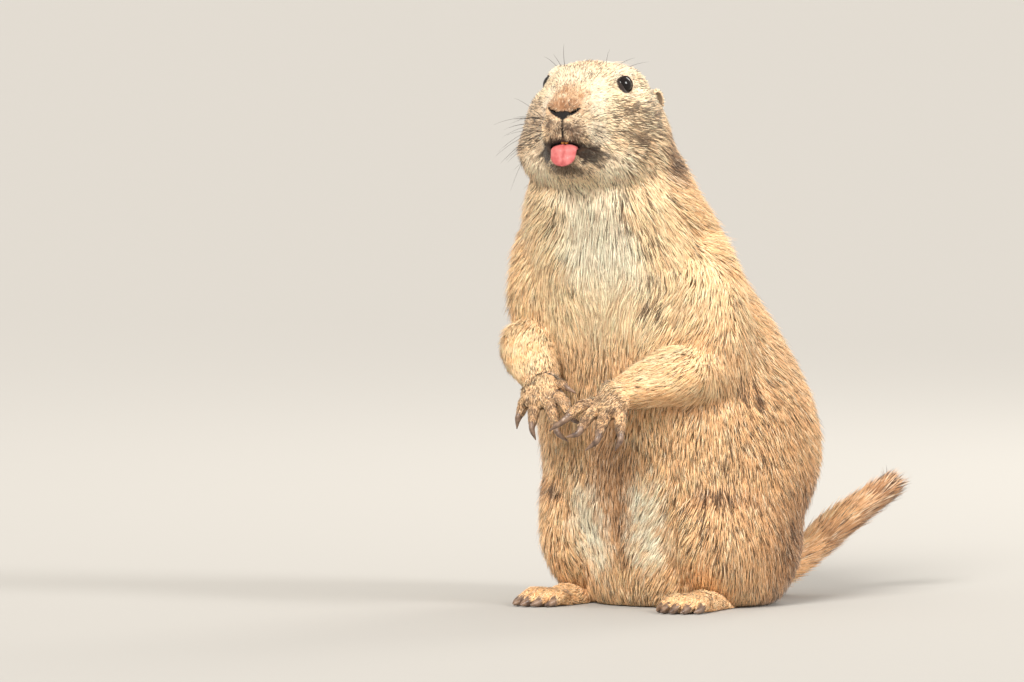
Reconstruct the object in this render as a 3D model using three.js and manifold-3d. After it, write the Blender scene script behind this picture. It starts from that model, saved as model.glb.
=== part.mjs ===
// An adult black-tailed prairie dog sitting up on its haunches, life size.
// Millimetres, +Z up, the hips facing -Y and the animal's left side towards +X. The chest and the
// head turn a little to its left, the paws hang in front of the belly, the tongue shows, and the
// tail sweeps back and up. The body is one skin of smooth sections, parted by thin cuts into the
// pieces that a person would name.
import * as THREE from 'three';
import { mergeVertices } from 'three/addons/utils/BufferGeometryUtils.js';
import Module from 'manifold-3d';

const wasm = await Module();
wasm.setup();

// Driving dimensions
const GAP = 0.3;
const FOOTPRINT_MIDDLE = { x: -0.1, y: 12.05 };
const TRUNK_ROWS = 28;
const TRUNK_COLUMNS = 34;
const HEAD_ROWS = 27;
const HEAD_COLUMNS = 32;
const LIMB_COLUMNS = 12;
const DIGIT_COLUMNS = 6;
const CLAW_COLUMNS = 5;
const DIGIT_ARCH = 0.12;

const coat = { tan: 0xc79a63, sandy: 0xd8b27c, cream: 0xe2cda4, brown: 0x8a6338 };
const finishes = {
  back: new THREE.MeshStandardMaterial({ color: coat.tan, roughness: 0.9, metalness: 0 }),
  chest: new THREE.MeshStandardMaterial({ color: coat.cream, roughness: 0.9, metalness: 0 }),
  limb: new THREE.MeshStandardMaterial({ color: coat.sandy, roughness: 0.9, metalness: 0 }),
  brush: new THREE.MeshStandardMaterial({ color: coat.brown, roughness: 0.9, metalness: 0 }),
  claw: new THREE.MeshStandardMaterial({ color: 0x3a2e28, roughness: 0.45, metalness: 0 }),
  eye: new THREE.MeshStandardMaterial({ color: 0x0d0a09, roughness: 0.05, metalness: 0 }),
  tongue: new THREE.MeshStandardMaterial({ color: 0xe0717c, roughness: 0.3, metalness: 0 }),
  tooth: new THREE.MeshStandardMaterial({ color: 0xc98a3c, roughness: 0.35, metalness: 0 }),
};

const root = new THREE.Group();
root.name = 'prairie_dog';
root.position.set(-FOOTPRINT_MIDDLE.x, -FOOTPRINT_MIDDLE.y, 0);

const point = (x, y, z) => new THREE.Vector3(x, y, z);
const up = point(0, 0, 1);

// The smooth curve through each named value of the stations, read at one place along them
function along(stations, at) {
  const last = stations.length - 2;
  const found = stations.findIndex((s) => s.at > at);
  const i = found < 0 ? last : Math.min(Math.max(found - 1, 0), last);
  const [near, far] = [stations[i], stations[i + 1]];
  const before = stations[Math.max(i - 1, 0)];
  const after = stations[Math.min(i + 2, last + 1)];
  const span = far.at - near.at;
  const t = Math.min(Math.max((at - near.at) / span, 0), 1);
  const read = (key) => {
    const slopeIn = ((far[key] - before[key]) / (far.at - before.at)) * span;
    const slopeOut = ((after[key] - near[key]) / (after.at - near.at)) * span;
    return (2 * t ** 3 - 3 * t ** 2 + 1) * near[key] + (t ** 3 - 2 * t ** 2 + t) * slopeIn
      + (3 * t ** 2 - 2 * t ** 3) * far[key] + (t ** 3 - t ** 2) * slopeOut;
  };
  return Object.fromEntries(Object.keys(near).map((key) => [key, read(key)]));
}

// How far a rounded section reaches from its middle, in the direction (c, s)
const sectionReach = (c, s, side, depth, power) =>
  (Math.abs(c / side) ** power + Math.abs(s / depth) ** power) ** (-1 / power);

// The larger of two lengths, with a soft hollow where they meet
function softLarger(a, b, soft) {
  const near = Math.max(soft - Math.abs(a - b), 0) / soft;
  return Math.max(a, b) + (near * near * soft) / 4;
}

// How far round a swelling its skirt reaches, in its own radii
const SKIRT = 1.7;

// An ellipsoid swelling of the body: a middle, three radii, and a turn that is given as Euler angles.
// A skirt falls away round it, so that it rises smoothly from the body.
function swelling(middle, radii, turn = [0, 0, 0]) {
  const turned = new THREE.Matrix4().makeRotationFromEuler(new THREE.Euler(...turn));
  const placed = turned.clone().setPosition(middle).scale(point(...radii));
  const inverse = placed.clone().invert();
  const linear = new THREE.Matrix3().setFromMatrix4(inverse);
  // The distance from start along the unit direction at which a ray leaves the swelling
  const reach = (start, direction) => {
    const o = start.clone().applyMatrix4(inverse);
    const d = direction.clone().applyMatrix3(linear);
    const [a, b, c] = [d.dot(d), o.dot(d), o.dot(o)];
    const miss = c - (b * b) / a;
    if (miss < 1) return (Math.sqrt(a * (1 - miss)) - b) / a;
    const fall = Math.max(SKIRT ** 2 - miss, 0) / (SKIRT ** 2 - 1);
    return (Math.max(-b, 0) / a) * fall;
  };
  return { placed, reach, turn };
}

const mirrored = (vector, sign) => point(sign * vector.x, vector.y, vector.z);
const midway = (a, b) => a.clone().add(b).multiplyScalar(0.5);

// A swelling that is stretched from one joint of a limb to the next
function swellingBetween(a, b, long, wide, thick) {
  const lie = new THREE.Quaternion().setFromUnitVectors(point(0, 0, 1), b.clone().sub(a).normalize());
  const euler = new THREE.Euler().setFromQuaternion(lie);
  return swelling(midway(a, b), [wide, thick, long], [euler.x, euler.y, euler.z]);
}

// A closed skin over rings of points, each ring anticlockwise about the path of the rings. Each
// four-sided patch is folded along its shorter diagonal, so that no crease runs in steps.
function skin(rings) {
  const count = rings[0].length;
  const ends = [rings[0], rings.at(-1)];
  const caps = ends.map((ring) => ring.reduce((sum, p) => sum.add(p), point(0, 0, 0)).divideScalar(count));
  const points = [...rings.flat(), ...caps];
  const last = (rings.length - 1) * count;
  const faces = [];
  const between = (a, b) => points[a].distanceTo(points[b]);
  for (let k = 0; k < count; k += 1) {
    const next = (k + 1) % count;
    for (let row = 0; row < last; row += count) {
      const [a, b, c, d] = [row + k, row + next, row + next + count, row + k + count];
      if (between(a, c) < between(b, d)) faces.push(a, b, c, a, c, d);
      else faces.push(a, b, d, b, c, d);
    }
    faces.push(points.length - 2, next, k, points.length - 1, last + k, last + next);
  }
  return new THREE.BufferGeometry().setFromPoints(points).setIndex(faces);
}

// A geometry as a solid that can be cut and joined
function solid(geometry, matrix = new THREE.Matrix4()) {
  const moved = geometry.clone().applyMatrix4(matrix);
  const vertProperties = new Float32Array(moved.attributes.position.array);
  const triVerts = new Uint32Array(moved.index.array);
  return new wasm.Manifold(new wasm.Mesh({ numProp: 3, vertProperties, triVerts }));
}

// A solid ellipsoid
const ball = (middle, radii, turn = [0, 0, 0], columns = 16) =>
  solid(sphere(columns), swelling(middle, radii, turn).placed);

// A unit sphere of rings about Z, closed at both poles
function sphere(columns) {
  const rows = columns / 2;
  const rings = Array.from({ length: rows - 1 }, (_, row) => {
    const lift = (Math.PI * (row + 1)) / rows;
    return circle(columns).map(([c, s]) => point(c * Math.sin(lift), s * Math.sin(lift), -Math.cos(lift)));
  });
  const geometry = skin(rings);
  const { position } = geometry.attributes;
  position.setXYZ(position.count - 2, 0, 0, -1);
  position.setXYZ(position.count - 1, 0, 0, 1);
  return geometry;
}

const circle = (count) => Array.from({ length: count }, (_, k) => {
  const angle = (2 * Math.PI * k) / count;
  return [Math.cos(angle), Math.sin(angle)];
});

// The same skin with every point pushed out by the gap that touching pieces keep
function swollen(geometry, by = GAP) {
  const grown = geometry.clone();
  grown.computeVertexNormals();
  const { position, normal } = grown.attributes;
  for (let i = 0; i < position.count; i += 1) {
    position.setXYZ(i, position.getX(i) + by * normal.getX(i),
      position.getY(i) + by * normal.getY(i), position.getZ(i) + by * normal.getZ(i));
  }
  grown.deleteAttribute('normal');
  return grown;
}

// The largest closed surface of a solid, without loose scraps or sealed hollows
function largest(manifold) {
  const pieces = manifold.decompose();
  return pieces.reduce((best, piece) => (piece.volume() > best.volume() ? piece : best));
}

// Adds a named piece to a group
function place(name, manifold, material, group = root) {
  const { vertProperties, triVerts } = largest(manifold).getMesh();
  const geometry = new THREE.BufferGeometry();
  geometry.setAttribute('position', new THREE.BufferAttribute(vertProperties, 3));
  geometry.setIndex(new THREE.BufferAttribute(triVerts, 1));
  geometry.computeVertexNormals();
  const mesh = new THREE.Mesh(geometry, material);
  mesh.name = name;
  group.add(mesh);
  return mesh;
}

const above = (manifold, normal, distance) => manifold.trimByPlane([normal.x, normal.y, normal.z], distance);
const below = (manifold, normal, distance) => above(manifold, normal.clone().negate(), -distance);

// A limb: rings across a smooth path, wide and thick at each of its joints, with a dome of its own
// length on the end, or none
function limb(joints, sizes, { columns = LIMB_COLUMNS, steps = 10, up = point(0, 0, 1), dome = 0 } = {}) {
  const path = new THREE.CatmullRomCurve3(joints);
  const stations = sizes.map(([wide, thick], k) => ({ at: k / (sizes.length - 1), wide, thick }));
  const rounding = 3;
  const ring = (t, share, push) => {
    const ahead = path.getTangent(t);
    const across = up.clone().cross(ahead).normalize();
    const rise = ahead.clone().cross(across);
    const { wide, thick } = along(stations, t);
    const middle = path.getPoint(t).addScaledVector(ahead, push);
    return circle(columns).map(([c, s]) => middle.clone()
      .addScaledVector(across, c * wide * share).addScaledVector(rise, s * thick * share));
  };
  const rings = Array.from({ length: steps + 1 }, (_, k) => ring(k / steps, 1, 0));
  for (let k = 1; k < rounding && dome > 0; k += 1) {
    const angle = (Math.PI / 2) * (k / rounding);
    rings.push(ring(1, Math.cos(angle), dome * Math.sin(angle)));
  }
  return solid(skin(rings));
}

// A digit from its knuckle to its flat end, and the claw that grows on from that end to its tip
function digit(knuckle, end, tip, radius) {
  const bend = midway(knuckle, end).add(point(0, 0, DIGIT_ARCH * knuckle.distanceTo(end)));
  const finger = limb([knuckle, bend, end], [[radius, radius], [radius, radius], [radius * 0.8, radius * 0.8]],
    { columns: DIGIT_COLUMNS, steps: 4 });
  const ahead = new THREE.CatmullRomCurve3([knuckle, bend, end]).getTangent(1);
  const start = end.clone().addScaledVector(ahead, GAP * 1.1);
  const length = end.distanceTo(tip);
  const arch = start.clone().addScaledVector(ahead, length * 0.4);
  const taper = [0.62, 0.52, 0.36, 0.1].map((share) => [radius * share, radius * share * 1.15]);
  const claw = limb([start, arch, tip], taper, { columns: CLAW_COLUMNS, steps: 4 });
  return { finger, claw };
}

// Trunk: level sections from the seat up to the top of the neck, inside the head
const trunkSections = [
  { at: 0, x: 0, y: 4, side: 41, belly: 38, back: 38, turn: 0 },
  { at: 5, x: 0, y: 4, side: 47, belly: 44, back: 43, turn: 0 },
  { at: 18, x: 0, y: 4, side: 52, belly: 50, back: 48, turn: 0 },
  { at: 38, x: 0, y: 3, side: 58, belly: 54, back: 53, turn: 0 },
  { at: 54, x: 0, y: 3, side: 66, belly: 58, back: 58, turn: 0 },
  { at: 74, x: 0, y: 4, side: 69.5, belly: 61, back: 61, turn: 0 },
  { at: 98, x: -1, y: -1.5, side: 68, belly: 60, back: 61, turn: 6 },
  { at: 131, x: -4, y: -14.8, side: 59.8, belly: 52, back: 60, turn: 13 },
  { at: 157, x: -7, y: -26.6, side: 53, belly: 44, back: 53, turn: 18 },
  { at: 182, x: -9, y: -35.8, side: 48, belly: 38, back: 44, turn: 18 },
  { at: 200, x: -10, y: -42, side: 42, belly: 34, back: 40, turn: 16 },
  { at: 216, x: -10.5, y: -46, side: 37, belly: 29, back: 36, turn: 13 },
  { at: 232, x: -11, y: -48, side: 29, belly: 22, back: 28, turn: 13 },
  { at: 243, x: -11, y: -49, side: 9, belly: 8, back: 9, turn: 13 },
];
const TRUNK_POWER = 2.15;
const BODY_SOFTNESS = 12;

// Joints of the forelimbs
const forelimbs = {
  left: { sign: 1, shoulder: point(37, -30, 165), elbow: point(46, -35, 116) },
  right: { sign: -1, shoulder: point(-43, -48, 172), elbow: point(-50, -43, 131) },
};
const sides = Object.entries(forelimbs);
const thigh = { x: 39, y: -6, z: 35, radii: [24.5, 42, 35], tilt: THREE.MathUtils.degToRad(-16) };
const throat = swelling(point(-2, -64, 206), [20, 15, 24]);
const bodySwellings = [throat, ...sides.flatMap(([, { sign, shoulder, elbow }]) => [
  swelling(point(sign * thigh.x, thigh.y, thigh.z), thigh.radii, [thigh.tilt, 0, 0]),
  swellingBetween(shoulder, elbow, shoulder.distanceTo(elbow) / 2 + 13, 17, 18),
])];

function trunkSkin() {
  const top = trunkSections.at(-1).at;
  const rings = Array.from({ length: TRUNK_ROWS + 1 }, (_, row) => {
    const height = top * (row / TRUNK_ROWS);
    const { x, y, side, belly, back, turn } = along(trunkSections, height);
    const angle = THREE.MathUtils.degToRad(turn);
    const middle = point(x, y, height);
    const left = point(Math.cos(angle), Math.sin(angle), 0);
    const rear = point(-Math.sin(angle), Math.cos(angle), 0);
    return circle(TRUNK_COLUMNS).map(([c, s]) => {
      const direction = left.clone().multiplyScalar(c).addScaledVector(rear, s);
      const plain = sectionReach(c, s, side, s < 0 ? belly : back, TRUNK_POWER);
      const reach = bodySwellings.reduce(
        (far, lobe) => softLarger(far, lobe.reach(middle, direction), BODY_SOFTNESS), plain);
      return middle.clone().addScaledVector(direction, reach);
    });
  });
  return skin(rings);
}

// Head: sections across the line from the nape to the nose, in the head's own frame, where +X is
// its left, +Y points back and +Z up. Each has a widest line at mid, a crown and a jaw.
const headMiddle = point(-11, -52, 226.4);
const headTurn = THREE.MathUtils.degToRad(13);
const headLift = THREE.MathUtils.degToRad(8);
const headGroup = new THREE.Group();
headGroup.position.copy(headMiddle);
headGroup.rotation.set(-headLift, 0, headTurn, 'ZYX');
headGroup.updateMatrix();
root.add(headGroup);

const headSections = [
  { at: -33, side: 9, mid: -6, crown: 2, jaw: -14, taper: 2 },
  { at: -28, side: 22, mid: -6, crown: 14, jaw: -23, taper: 2 },
  { at: -18, side: 32, mid: -7, crown: 25.5, jaw: -29, taper: 2.1 },
  { at: -6, side: 36, mid: -8, crown: 32, jaw: -31, taper: 2.1 },
  { at: 5, side: 36, mid: -9, crown: 34, jaw: -31, taper: 2.05 },
  { at: 14, side: 33, mid: -9, crown: 33.5, jaw: -30, taper: 2.2 },
  { at: 22, side: 26.3, mid: -8, crown: 30, jaw: -28, taper: 2.8 },
  { at: 28, side: 19.5, mid: -7, crown: 26, jaw: -26, taper: 3.1 },
  { at: 33, side: 15.2, mid: -6, crown: 21.6, jaw: -24.5, taper: 3.2 },
  { at: 38, side: 12.8, mid: -4, crown: 17.2, jaw: -21.5, taper: 2.8 },
  { at: 42.5, side: 11, mid: -1, crown: 13.6, jaw: -14, taper: 2.5 },
  { at: 45.8, side: 8.6, mid: 2, crown: 10, jaw: -5, taper: 2.3 },
  { at: 47.2, side: 4.6, mid: 4.5, crown: 7.2, jaw: 1.5, taper: 2.2 },
];
const HEAD_SOFTNESS = 4;
const JAW_POWER = 2.15;
const ROWS_TO_NOSE = 0.85;
const pair = (x, y, z, radii) => [-1, 1].map((sign) => swelling(point(sign * x, y, z), radii));
const headSwellings = [
  ...pair(16.5, -7, 23.5, [8.5, 13, 8]),
  ...pair(6, -39.5, -3.5, [6.6, 7.2, 6.6]),
  ...pair(21, -10, -13, [13.5, 17, 13]),
  swelling(point(0, -42.5, 6.6), [9.2, 5.2, 4.8]),
  swelling(point(0, -34, -17.5), [9.5, 8, 7]),
];
// The hollows that the eyes sit in
const orbit = { middle: point(23.5, -14, 20.5), radius: 9.5, depth: 5.2 };

function headSkin() {
  const [start, end] = [headSections[0].at, headSections.at(-1).at];
  const rings = Array.from({ length: HEAD_ROWS + 1 }, (_, row) => {
    // Rows crowd towards the nose, where the small forms are
    const at = start + (end - start) * (row / HEAD_ROWS) ** ROWS_TO_NOSE;
    const { side, mid, crown, jaw, taper } = along(headSections, at);
    const middle = point(0, -at, mid);
    return circle(HEAD_COLUMNS).map(([c, s]) => {
      const plain = s > 0 ? sectionReach(c, s, side, crown - mid, taper)
        : sectionReach(c, s, side, mid - jaw, JAW_POWER);
      const direction = point(c, 0, s);
      const reach = headSwellings.reduce(
        (far, lobe) => softLarger(far, lobe.reach(middle, direction), HEAD_SOFTNESS), plain);
      const spot = middle.clone().addScaledVector(direction, reach);
      const away = spot.distanceTo(mirrored(orbit.middle, Math.sign(c))) / orbit.radius;
      return spot.addScaledVector(direction, -orbit.depth * Math.max(1 - away * away, 0) ** 2);
    });
  });
  return skin(rings);
}

const headGeometry = headSkin();
const headGrown = solid(swollen(headGeometry));
const headGrownInPlace = solid(swollen(headGeometry), headGroup.matrix);
const trunkGeometry = trunkSkin();
const trunkGrown = solid(swollen(trunkGeometry));

// Eyes: balls in sockets, with a rim of lids round each, wider than it is high
const EYE_RADIUS = 5.2;
const EYE_COLUMNS = 14;
const LID_THICKNESS = 0.75;
// How far from the line of sight the lids meet the ball, as angles along and across the slit
const LID_LEVEL = 1.2;
const LID_UPRIGHT = 0.86;
const LID_TILT = 0.3;
const eyePlace = point(16.8, -16.1, 21);
const eyeLook = point(0.8, -0.58, 0.14).normalize();
const round = (radius) => [radius, radius, radius];

// A tube that runs round the ball at the lids' angle
function lids(sign) {
  const look = mirrored(eyeLook, sign);
  const level = up.clone().cross(look).normalize();
  const ring = new THREE.TorusGeometry(1, LID_THICKNESS, 6, 16);
  ring.deleteAttribute('normal');
  ring.deleteAttribute('uv');
  const tube = mergeVertices(ring);
  const { position } = tube.attributes;
  for (let i = 0; i < position.count; i += 1) {
    const [x, y] = [position.getX(i), position.getY(i)];
    const bearing = Math.atan2(y, x);
    const slit = bearing - LID_TILT * sign;
    const angle = 1 / Math.hypot(Math.cos(slit) / LID_LEVEL, Math.sin(slit) / LID_UPRIGHT);
    const away = Math.hypot(x, y) - 1;
    const out = EYE_RADIUS + position.getZ(i);
    const wide = out * Math.sin(angle) + away * Math.cos(angle);
    position.setXYZ(i, wide * Math.cos(bearing), wide * Math.sin(bearing),
      out * Math.cos(angle) - away * Math.sin(angle));
  }
  const facing = new THREE.Matrix4().makeBasis(level, look.clone().cross(level), look);
  return solid(tube, facing.setPosition(mirrored(eyePlace, sign)));
}

// Nostrils, the furrow under the nose and the opening of the mouth
const nostril = (sign) => ball(point(sign * 4.4, -46.2, 5.4), [3.2, 3.2, 0.9], [0, -sign * 0.38, 0], 10);
const furrow = ball(point(0, -46.5, -0.8), [0.5, 3.2, 4.8], [0, 0, 0], 8);
const mouthPitch = THREE.MathUtils.degToRad(-11);
const mouthMiddle = point(0, -34, -12.5);
const mouthRadii = [9.4, 14, 3.1];
const mouth = ball(mouthMiddle, mouthRadii, [mouthPitch, 0, 0], 20);
const inMouth = ball(mouthMiddle, mouthRadii.map((r) => r - GAP), [mouthPitch, 0, 0], 20);
// The closed stretch of the lips, from the opening back to the corners of the mouth
const lipLine = ball(point(0, -31.5, -12.6), [14.5, 12.5, 0.75], [mouthPitch, 0, 0], 20);
// A piece that fills the mouth's opening and whatever of it lies outside the lips
const fromMouth = (piece) => piece.intersect(inMouth).add(piece.subtract(headGrown));

function buildHead() {
  const cuts = [1, -1].flatMap((sign) => [
    ball(mirrored(eyePlace, sign), round(EYE_RADIUS + GAP), undefined, EYE_COLUMNS),
    nostril(sign),
  ]);
  const lidded = solid(headGeometry).add(lids(1)).add(lids(-1));
  place('head', [...cuts, furrow, mouth, lipLine].reduce((left, cut) => left.subtract(cut), lidded),
    finishes.back, headGroup);
  sides.forEach(([side, { sign }]) => {
    const eyeball = ball(mirrored(eyePlace, sign), round(EYE_RADIUS), undefined, EYE_COLUMNS);
    place(`eye_${side}`, eyeball, finishes.eye, headGroup);
    place(`ear_${side}`, ear(sign), finishes.limb, headGroup);
  });
  const tongue = limb([point(0.5, -27, -15), point(0.8, -36, -12.9), point(1, -42.6, -12.1),
    point(1.2, -45.8, -13.2), point(1.2, -46.6, -15.9)],
  [[4.6, 0.8], [4.8, 1.6], [5.2, 1.8], [6.5, 2.2], [6.4, 2]], { up: point(0, -0.7, 0.7), steps: 8, dome: 4.9 });
  place('tongue', fromMouth(tongue), finishes.tongue, headGroup);
  sides.forEach(([side, { sign }]) => {
    const tooth = limb([point(0.95 * sign, -42.4, -5.5), point(0.95 * sign, -42.9, -9.6)],
      [[0.8, 0.7], [0.8, 0.5]], { up: point(0, -1, 0), steps: 2, columns: 6 });
    place(`incisor_${side}`, tooth.intersect(inMouth), finishes.tooth, headGroup);
  });
}

// An ear: a low cup behind the eye that opens forwards and out
function ear(sign) {
  const middle = point(sign * 26.5, 8, 16.5);
  const cup = ball(middle, [4.6, 4.2, 5.9], [0, 0, sign * 0.3]);
  const hollow = ball(middle.clone().add(point(sign * 2.5, -2.4, 0.3)), [2.8, 3.1, 4.3], [0, 0, sign * 0.3], 12);
  return cup.subtract(hollow).subtract(headGrown);
}

// The trunk, less the limbs that knives part from it, in level cuts
const NECK_CUT = 192;
const CHEST_CUT = 112;
const thighKnife = { x: 52, y: -16, z: 28, radii: [40, 48, 34] };
const armKnife = { out: 13, front: 5, radii: [25, 27, 44] };

function knives({ sign, shoulder, elbow }, by) {
  const wider = (radii) => radii.map((r) => r + by);
  const thighCut = ball(point(sign * thighKnife.x, thighKnife.y, thighKnife.z),
    wider(thighKnife.radii), undefined, 22);
  const outward = point(sign * armKnife.out, -armKnife.front, 0);
  const middle = midway(shoulder, elbow).add(outward);
  const lie = swellingBetween(shoulder, elbow, 1, 1, 1).turn;
  return { thigh: thighCut, upper_arm: ball(middle, wider(armKnife.radii), lie, 20) };
}

function buildTrunk() {
  let rest = solid(trunkGeometry);
  sides.forEach(([side, limbJoints]) => {
    const cut = knives(limbJoints, 0);
    const clear = knives(limbJoints, GAP);
    Object.keys(cut).forEach((name) => {
      place(`${name}_${side}`, rest.intersect(cut[name]), finishes.limb);
      rest = rest.subtract(clear[name]);
    });
  });
  place('neck', above(rest, up, NECK_CUT + GAP / 2).subtract(headGrownInPlace), finishes.back);
  place('chest', below(above(rest, up, CHEST_CUT + GAP / 2), up, NECK_CUT - GAP / 2), finishes.chest);
  place('belly', below(rest, up, CHEST_CUT - GAP / 2), finishes.back);
}

// Forelimbs: a forearm from the elbow to the wrist, a palm, four digits and a thumb
const paws = {
  left: {
    forearm: [point(47, -31, 117), point(34, -55, 112), point(16.5, -75, 104)],
    knuckles: point(14.8, -84.5, 96.5),
    digits: [
      [point(7.5, -84, 99.5), point(1.5, -93, 94.6), point(-7.5, -98, 87)],
      [point(11.5, -86, 96.5), point(9.5, -96, 89), point(3.9, -101, 84.5)],
      [point(17, -85, 95), point(19.2, -95.5, 86.5), point(13.9, -99.5, 78.5)],
      [point(21.8, -81.5, 96), point(26.5, -88.5, 86.5), point(25.8, -92, 78.5)],
    ],
    thumb: [point(9, -78, 101), point(3.5, -80, 97.5), point(0, -80.5, 93.5)],
  },
  right: {
    forearm: [point(-51, -42, 132), point(-41, -63, 121), point(-26, -76, 108)],
    knuckles: point(-22.8, -83, 100.5),
    digits: [
      [point(-31, -80, 101.5), point(-33, -84.5, 94), point(-34.8, -85, 86.5)],
      [point(-25.5, -83, 99.5), point(-23.4, -88.5, 90.2), point(-20.8, -90, 82)],
      [point(-18.5, -83, 99.5), point(-11, -87.5, 89.3), point(-4.4, -87, 81.5)],
      [point(-14.5, -81, 102.5), point(-5.5, -84.5, 95.3), point(1.2, -84, 89.5)],
    ],
    thumb: [point(-18, -77, 108), point(-11.6, -78.5, 107), point(-5.8, -78, 104)],
  },
};
const DIGIT_RADIUS = 3.1;
const THUMB_RADIUS = 2.4;
const PALM_WIDTH = 10;

function buildPaw(side) {
  const { forearm, knuckles, digits, thumb } = paws[side];
  const wrist = forearm.at(-1);
  const arm = limb(forearm, [[10, 10], [15.5, 15], [13, 12.5], [9, 8.8]]);
  const ahead = new THREE.CatmullRomCurve3(forearm).getTangent(1);
  const start = wrist.clone().addScaledVector(ahead, GAP);
  let palm = limb([start, midway(start, knuckles), knuckles],
    [[8.8, 8.6], [PALM_WIDTH, 6.8], [PALM_WIDTH, 5]], { steps: 4, dome: 5 });
  place(`forearm_${side}`, arm.subtract(trunkGrown), finishes.limb);
  [...digits, thumb].forEach(([knuckle, end, tip], k) => {
    const radius = k < digits.length ? DIGIT_RADIUS : THUMB_RADIUS;
    const { finger, claw } = digit(knuckle, end, tip, radius);
    palm = palm.add(finger);
    place(`fore_claw_${side}_${k + 1}`, claw, finishes.claw);
  });
  const behindWrist = ahead.clone();
  palm = above(palm, behindWrist, behindWrist.dot(start));
  place(`hand_${side}`, palm, finishes.limb);
}

// Hind feet: flat soles on the floor, five toes each, turned out a little
const foot = {
  heel: point(35, 4, 0), ball: point(40, -46, 0), heelWidth: 7.5, ballWidth: 11.5, heelHeight: 11, ballHeight: 7.5,
};
const TOE_RADIUS = 3.7;
const toeSpread = [-8.6, -4.6, 0, 4.6, 8.6];
const toeReach = [11, 16, 17.5, 16, 11];
const HIND_CLAW_LENGTH = 7.5;
const SOLE_SINK = 0.7;

function buildFoot(side, sign) {
  const heel = mirrored(foot.heel, sign);
  const ball = mirrored(foot.ball, sign);
  const ahead = ball.clone().sub(heel).normalize();
  const across = up.clone().cross(ahead).normalize();
  const sole = [heel, midway(heel, ball), ball].map((p) => p.clone().add(point(0, 0, 1)));
  let pad = limb(sole, [[foot.heelWidth, foot.heelHeight], [foot.heelWidth + 1, foot.heelHeight],
    [foot.ballWidth, foot.ballHeight]], { steps: 8, dome: 9 });
  toeSpread.forEach((offset, k) => {
    const spread = offset * sign;
    const knuckle = ball.clone().addScaledVector(across, spread * 0.8).add(point(0, 0, TOE_RADIUS));
    const end = knuckle.clone().addScaledVector(ahead, toeReach[k]).addScaledVector(across, spread * 0.35);
    end.z = TOE_RADIUS - SOLE_SINK;
    const tip = end.clone().addScaledVector(ahead, HIND_CLAW_LENGTH);
    tip.z = 1.2;
    const { finger, claw } = digit(knuckle, end, tip, TOE_RADIUS);
    pad = pad.add(finger);
    place(`hind_claw_${side}_${k + 1}`, claw, finishes.claw);
  });
  place(`foot_${side}`, above(pad, up, 0).subtract(trunkGrown), finishes.limb);
}

// Tail: from the rump back and up to the animal's left, ending in a blunt dark brush
const tailPath = [point(3, 42, 14), point(12, 60, 12), point(20, 74, 17), point(31, 95, 33), point(43, 119, 49)];
const BRUSH_START = 0.62;

function buildTail() {
  const whole = limb(tailPath, [[12, 10.5], [11, 9.5], [10, 8.5], [10, 8.5], [8, 7]], { steps: 14, dome: 6 });
  const path = new THREE.CatmullRomCurve3(tailPath);
  const middle = path.getPoint(BRUSH_START);
  const ahead = path.getTangent(BRUSH_START);
  const distance = ahead.dot(middle);
  place('tail', below(whole, ahead, distance - GAP / 2).subtract(trunkGrown), finishes.back);
  place('tail_brush', above(whole, ahead, distance + GAP / 2), finishes.brush);
}

buildHead();
buildTrunk();
sides.forEach(([side, { sign }]) => {
  buildPaw(side);
  buildFoot(side, sign);
});
buildTail();

export default root;
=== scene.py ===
"""An adult black-tailed prairie dog sitting up: a life-size museum model, dressed over its solids."""

import bpy
import numpy as np
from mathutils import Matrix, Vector


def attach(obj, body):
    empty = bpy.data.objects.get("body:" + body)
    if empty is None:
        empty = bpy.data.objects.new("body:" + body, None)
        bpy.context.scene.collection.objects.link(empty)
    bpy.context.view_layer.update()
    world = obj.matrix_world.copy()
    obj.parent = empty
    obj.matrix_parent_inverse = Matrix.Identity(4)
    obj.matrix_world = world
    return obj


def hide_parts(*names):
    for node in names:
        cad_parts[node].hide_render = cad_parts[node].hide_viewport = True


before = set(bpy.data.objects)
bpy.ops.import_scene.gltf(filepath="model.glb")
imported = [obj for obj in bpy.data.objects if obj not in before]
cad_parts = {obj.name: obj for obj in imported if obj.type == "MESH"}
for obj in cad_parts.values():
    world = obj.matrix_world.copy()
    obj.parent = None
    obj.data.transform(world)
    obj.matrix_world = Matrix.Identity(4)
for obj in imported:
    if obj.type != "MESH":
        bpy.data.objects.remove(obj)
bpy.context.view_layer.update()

# The hide: one closed skin from the nose to the tip of the tail, tanned and stretched over a
# filled form. It lies inside the solids' outline by the depth of the coat. Its form is worked out
# in millimetres, and its shells are melted into one surface whose inner corners are softened.
MM = 0.001
SEAT_MIDDLE = np.array([-0.1, 12.05, 0.0])
VOXEL = 0.00062
HIDE_TRIANGLES = 190000
FLOOR_CLEARANCE = 0.3
# The animal's left lies towards +X
SIDES = ((1, "left"), (-1, "right"))


def unit(v):
    """Each vector divided by its length."""
    return v / np.maximum(np.linalg.norm(v, axis=-1, keepdims=True), 1e-9)


def columns_of(*parts):
    """Stacks like arrays of numbers as the columns x, y, z."""
    return np.stack(np.broadcast_arrays(*parts), axis=-1)


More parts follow.
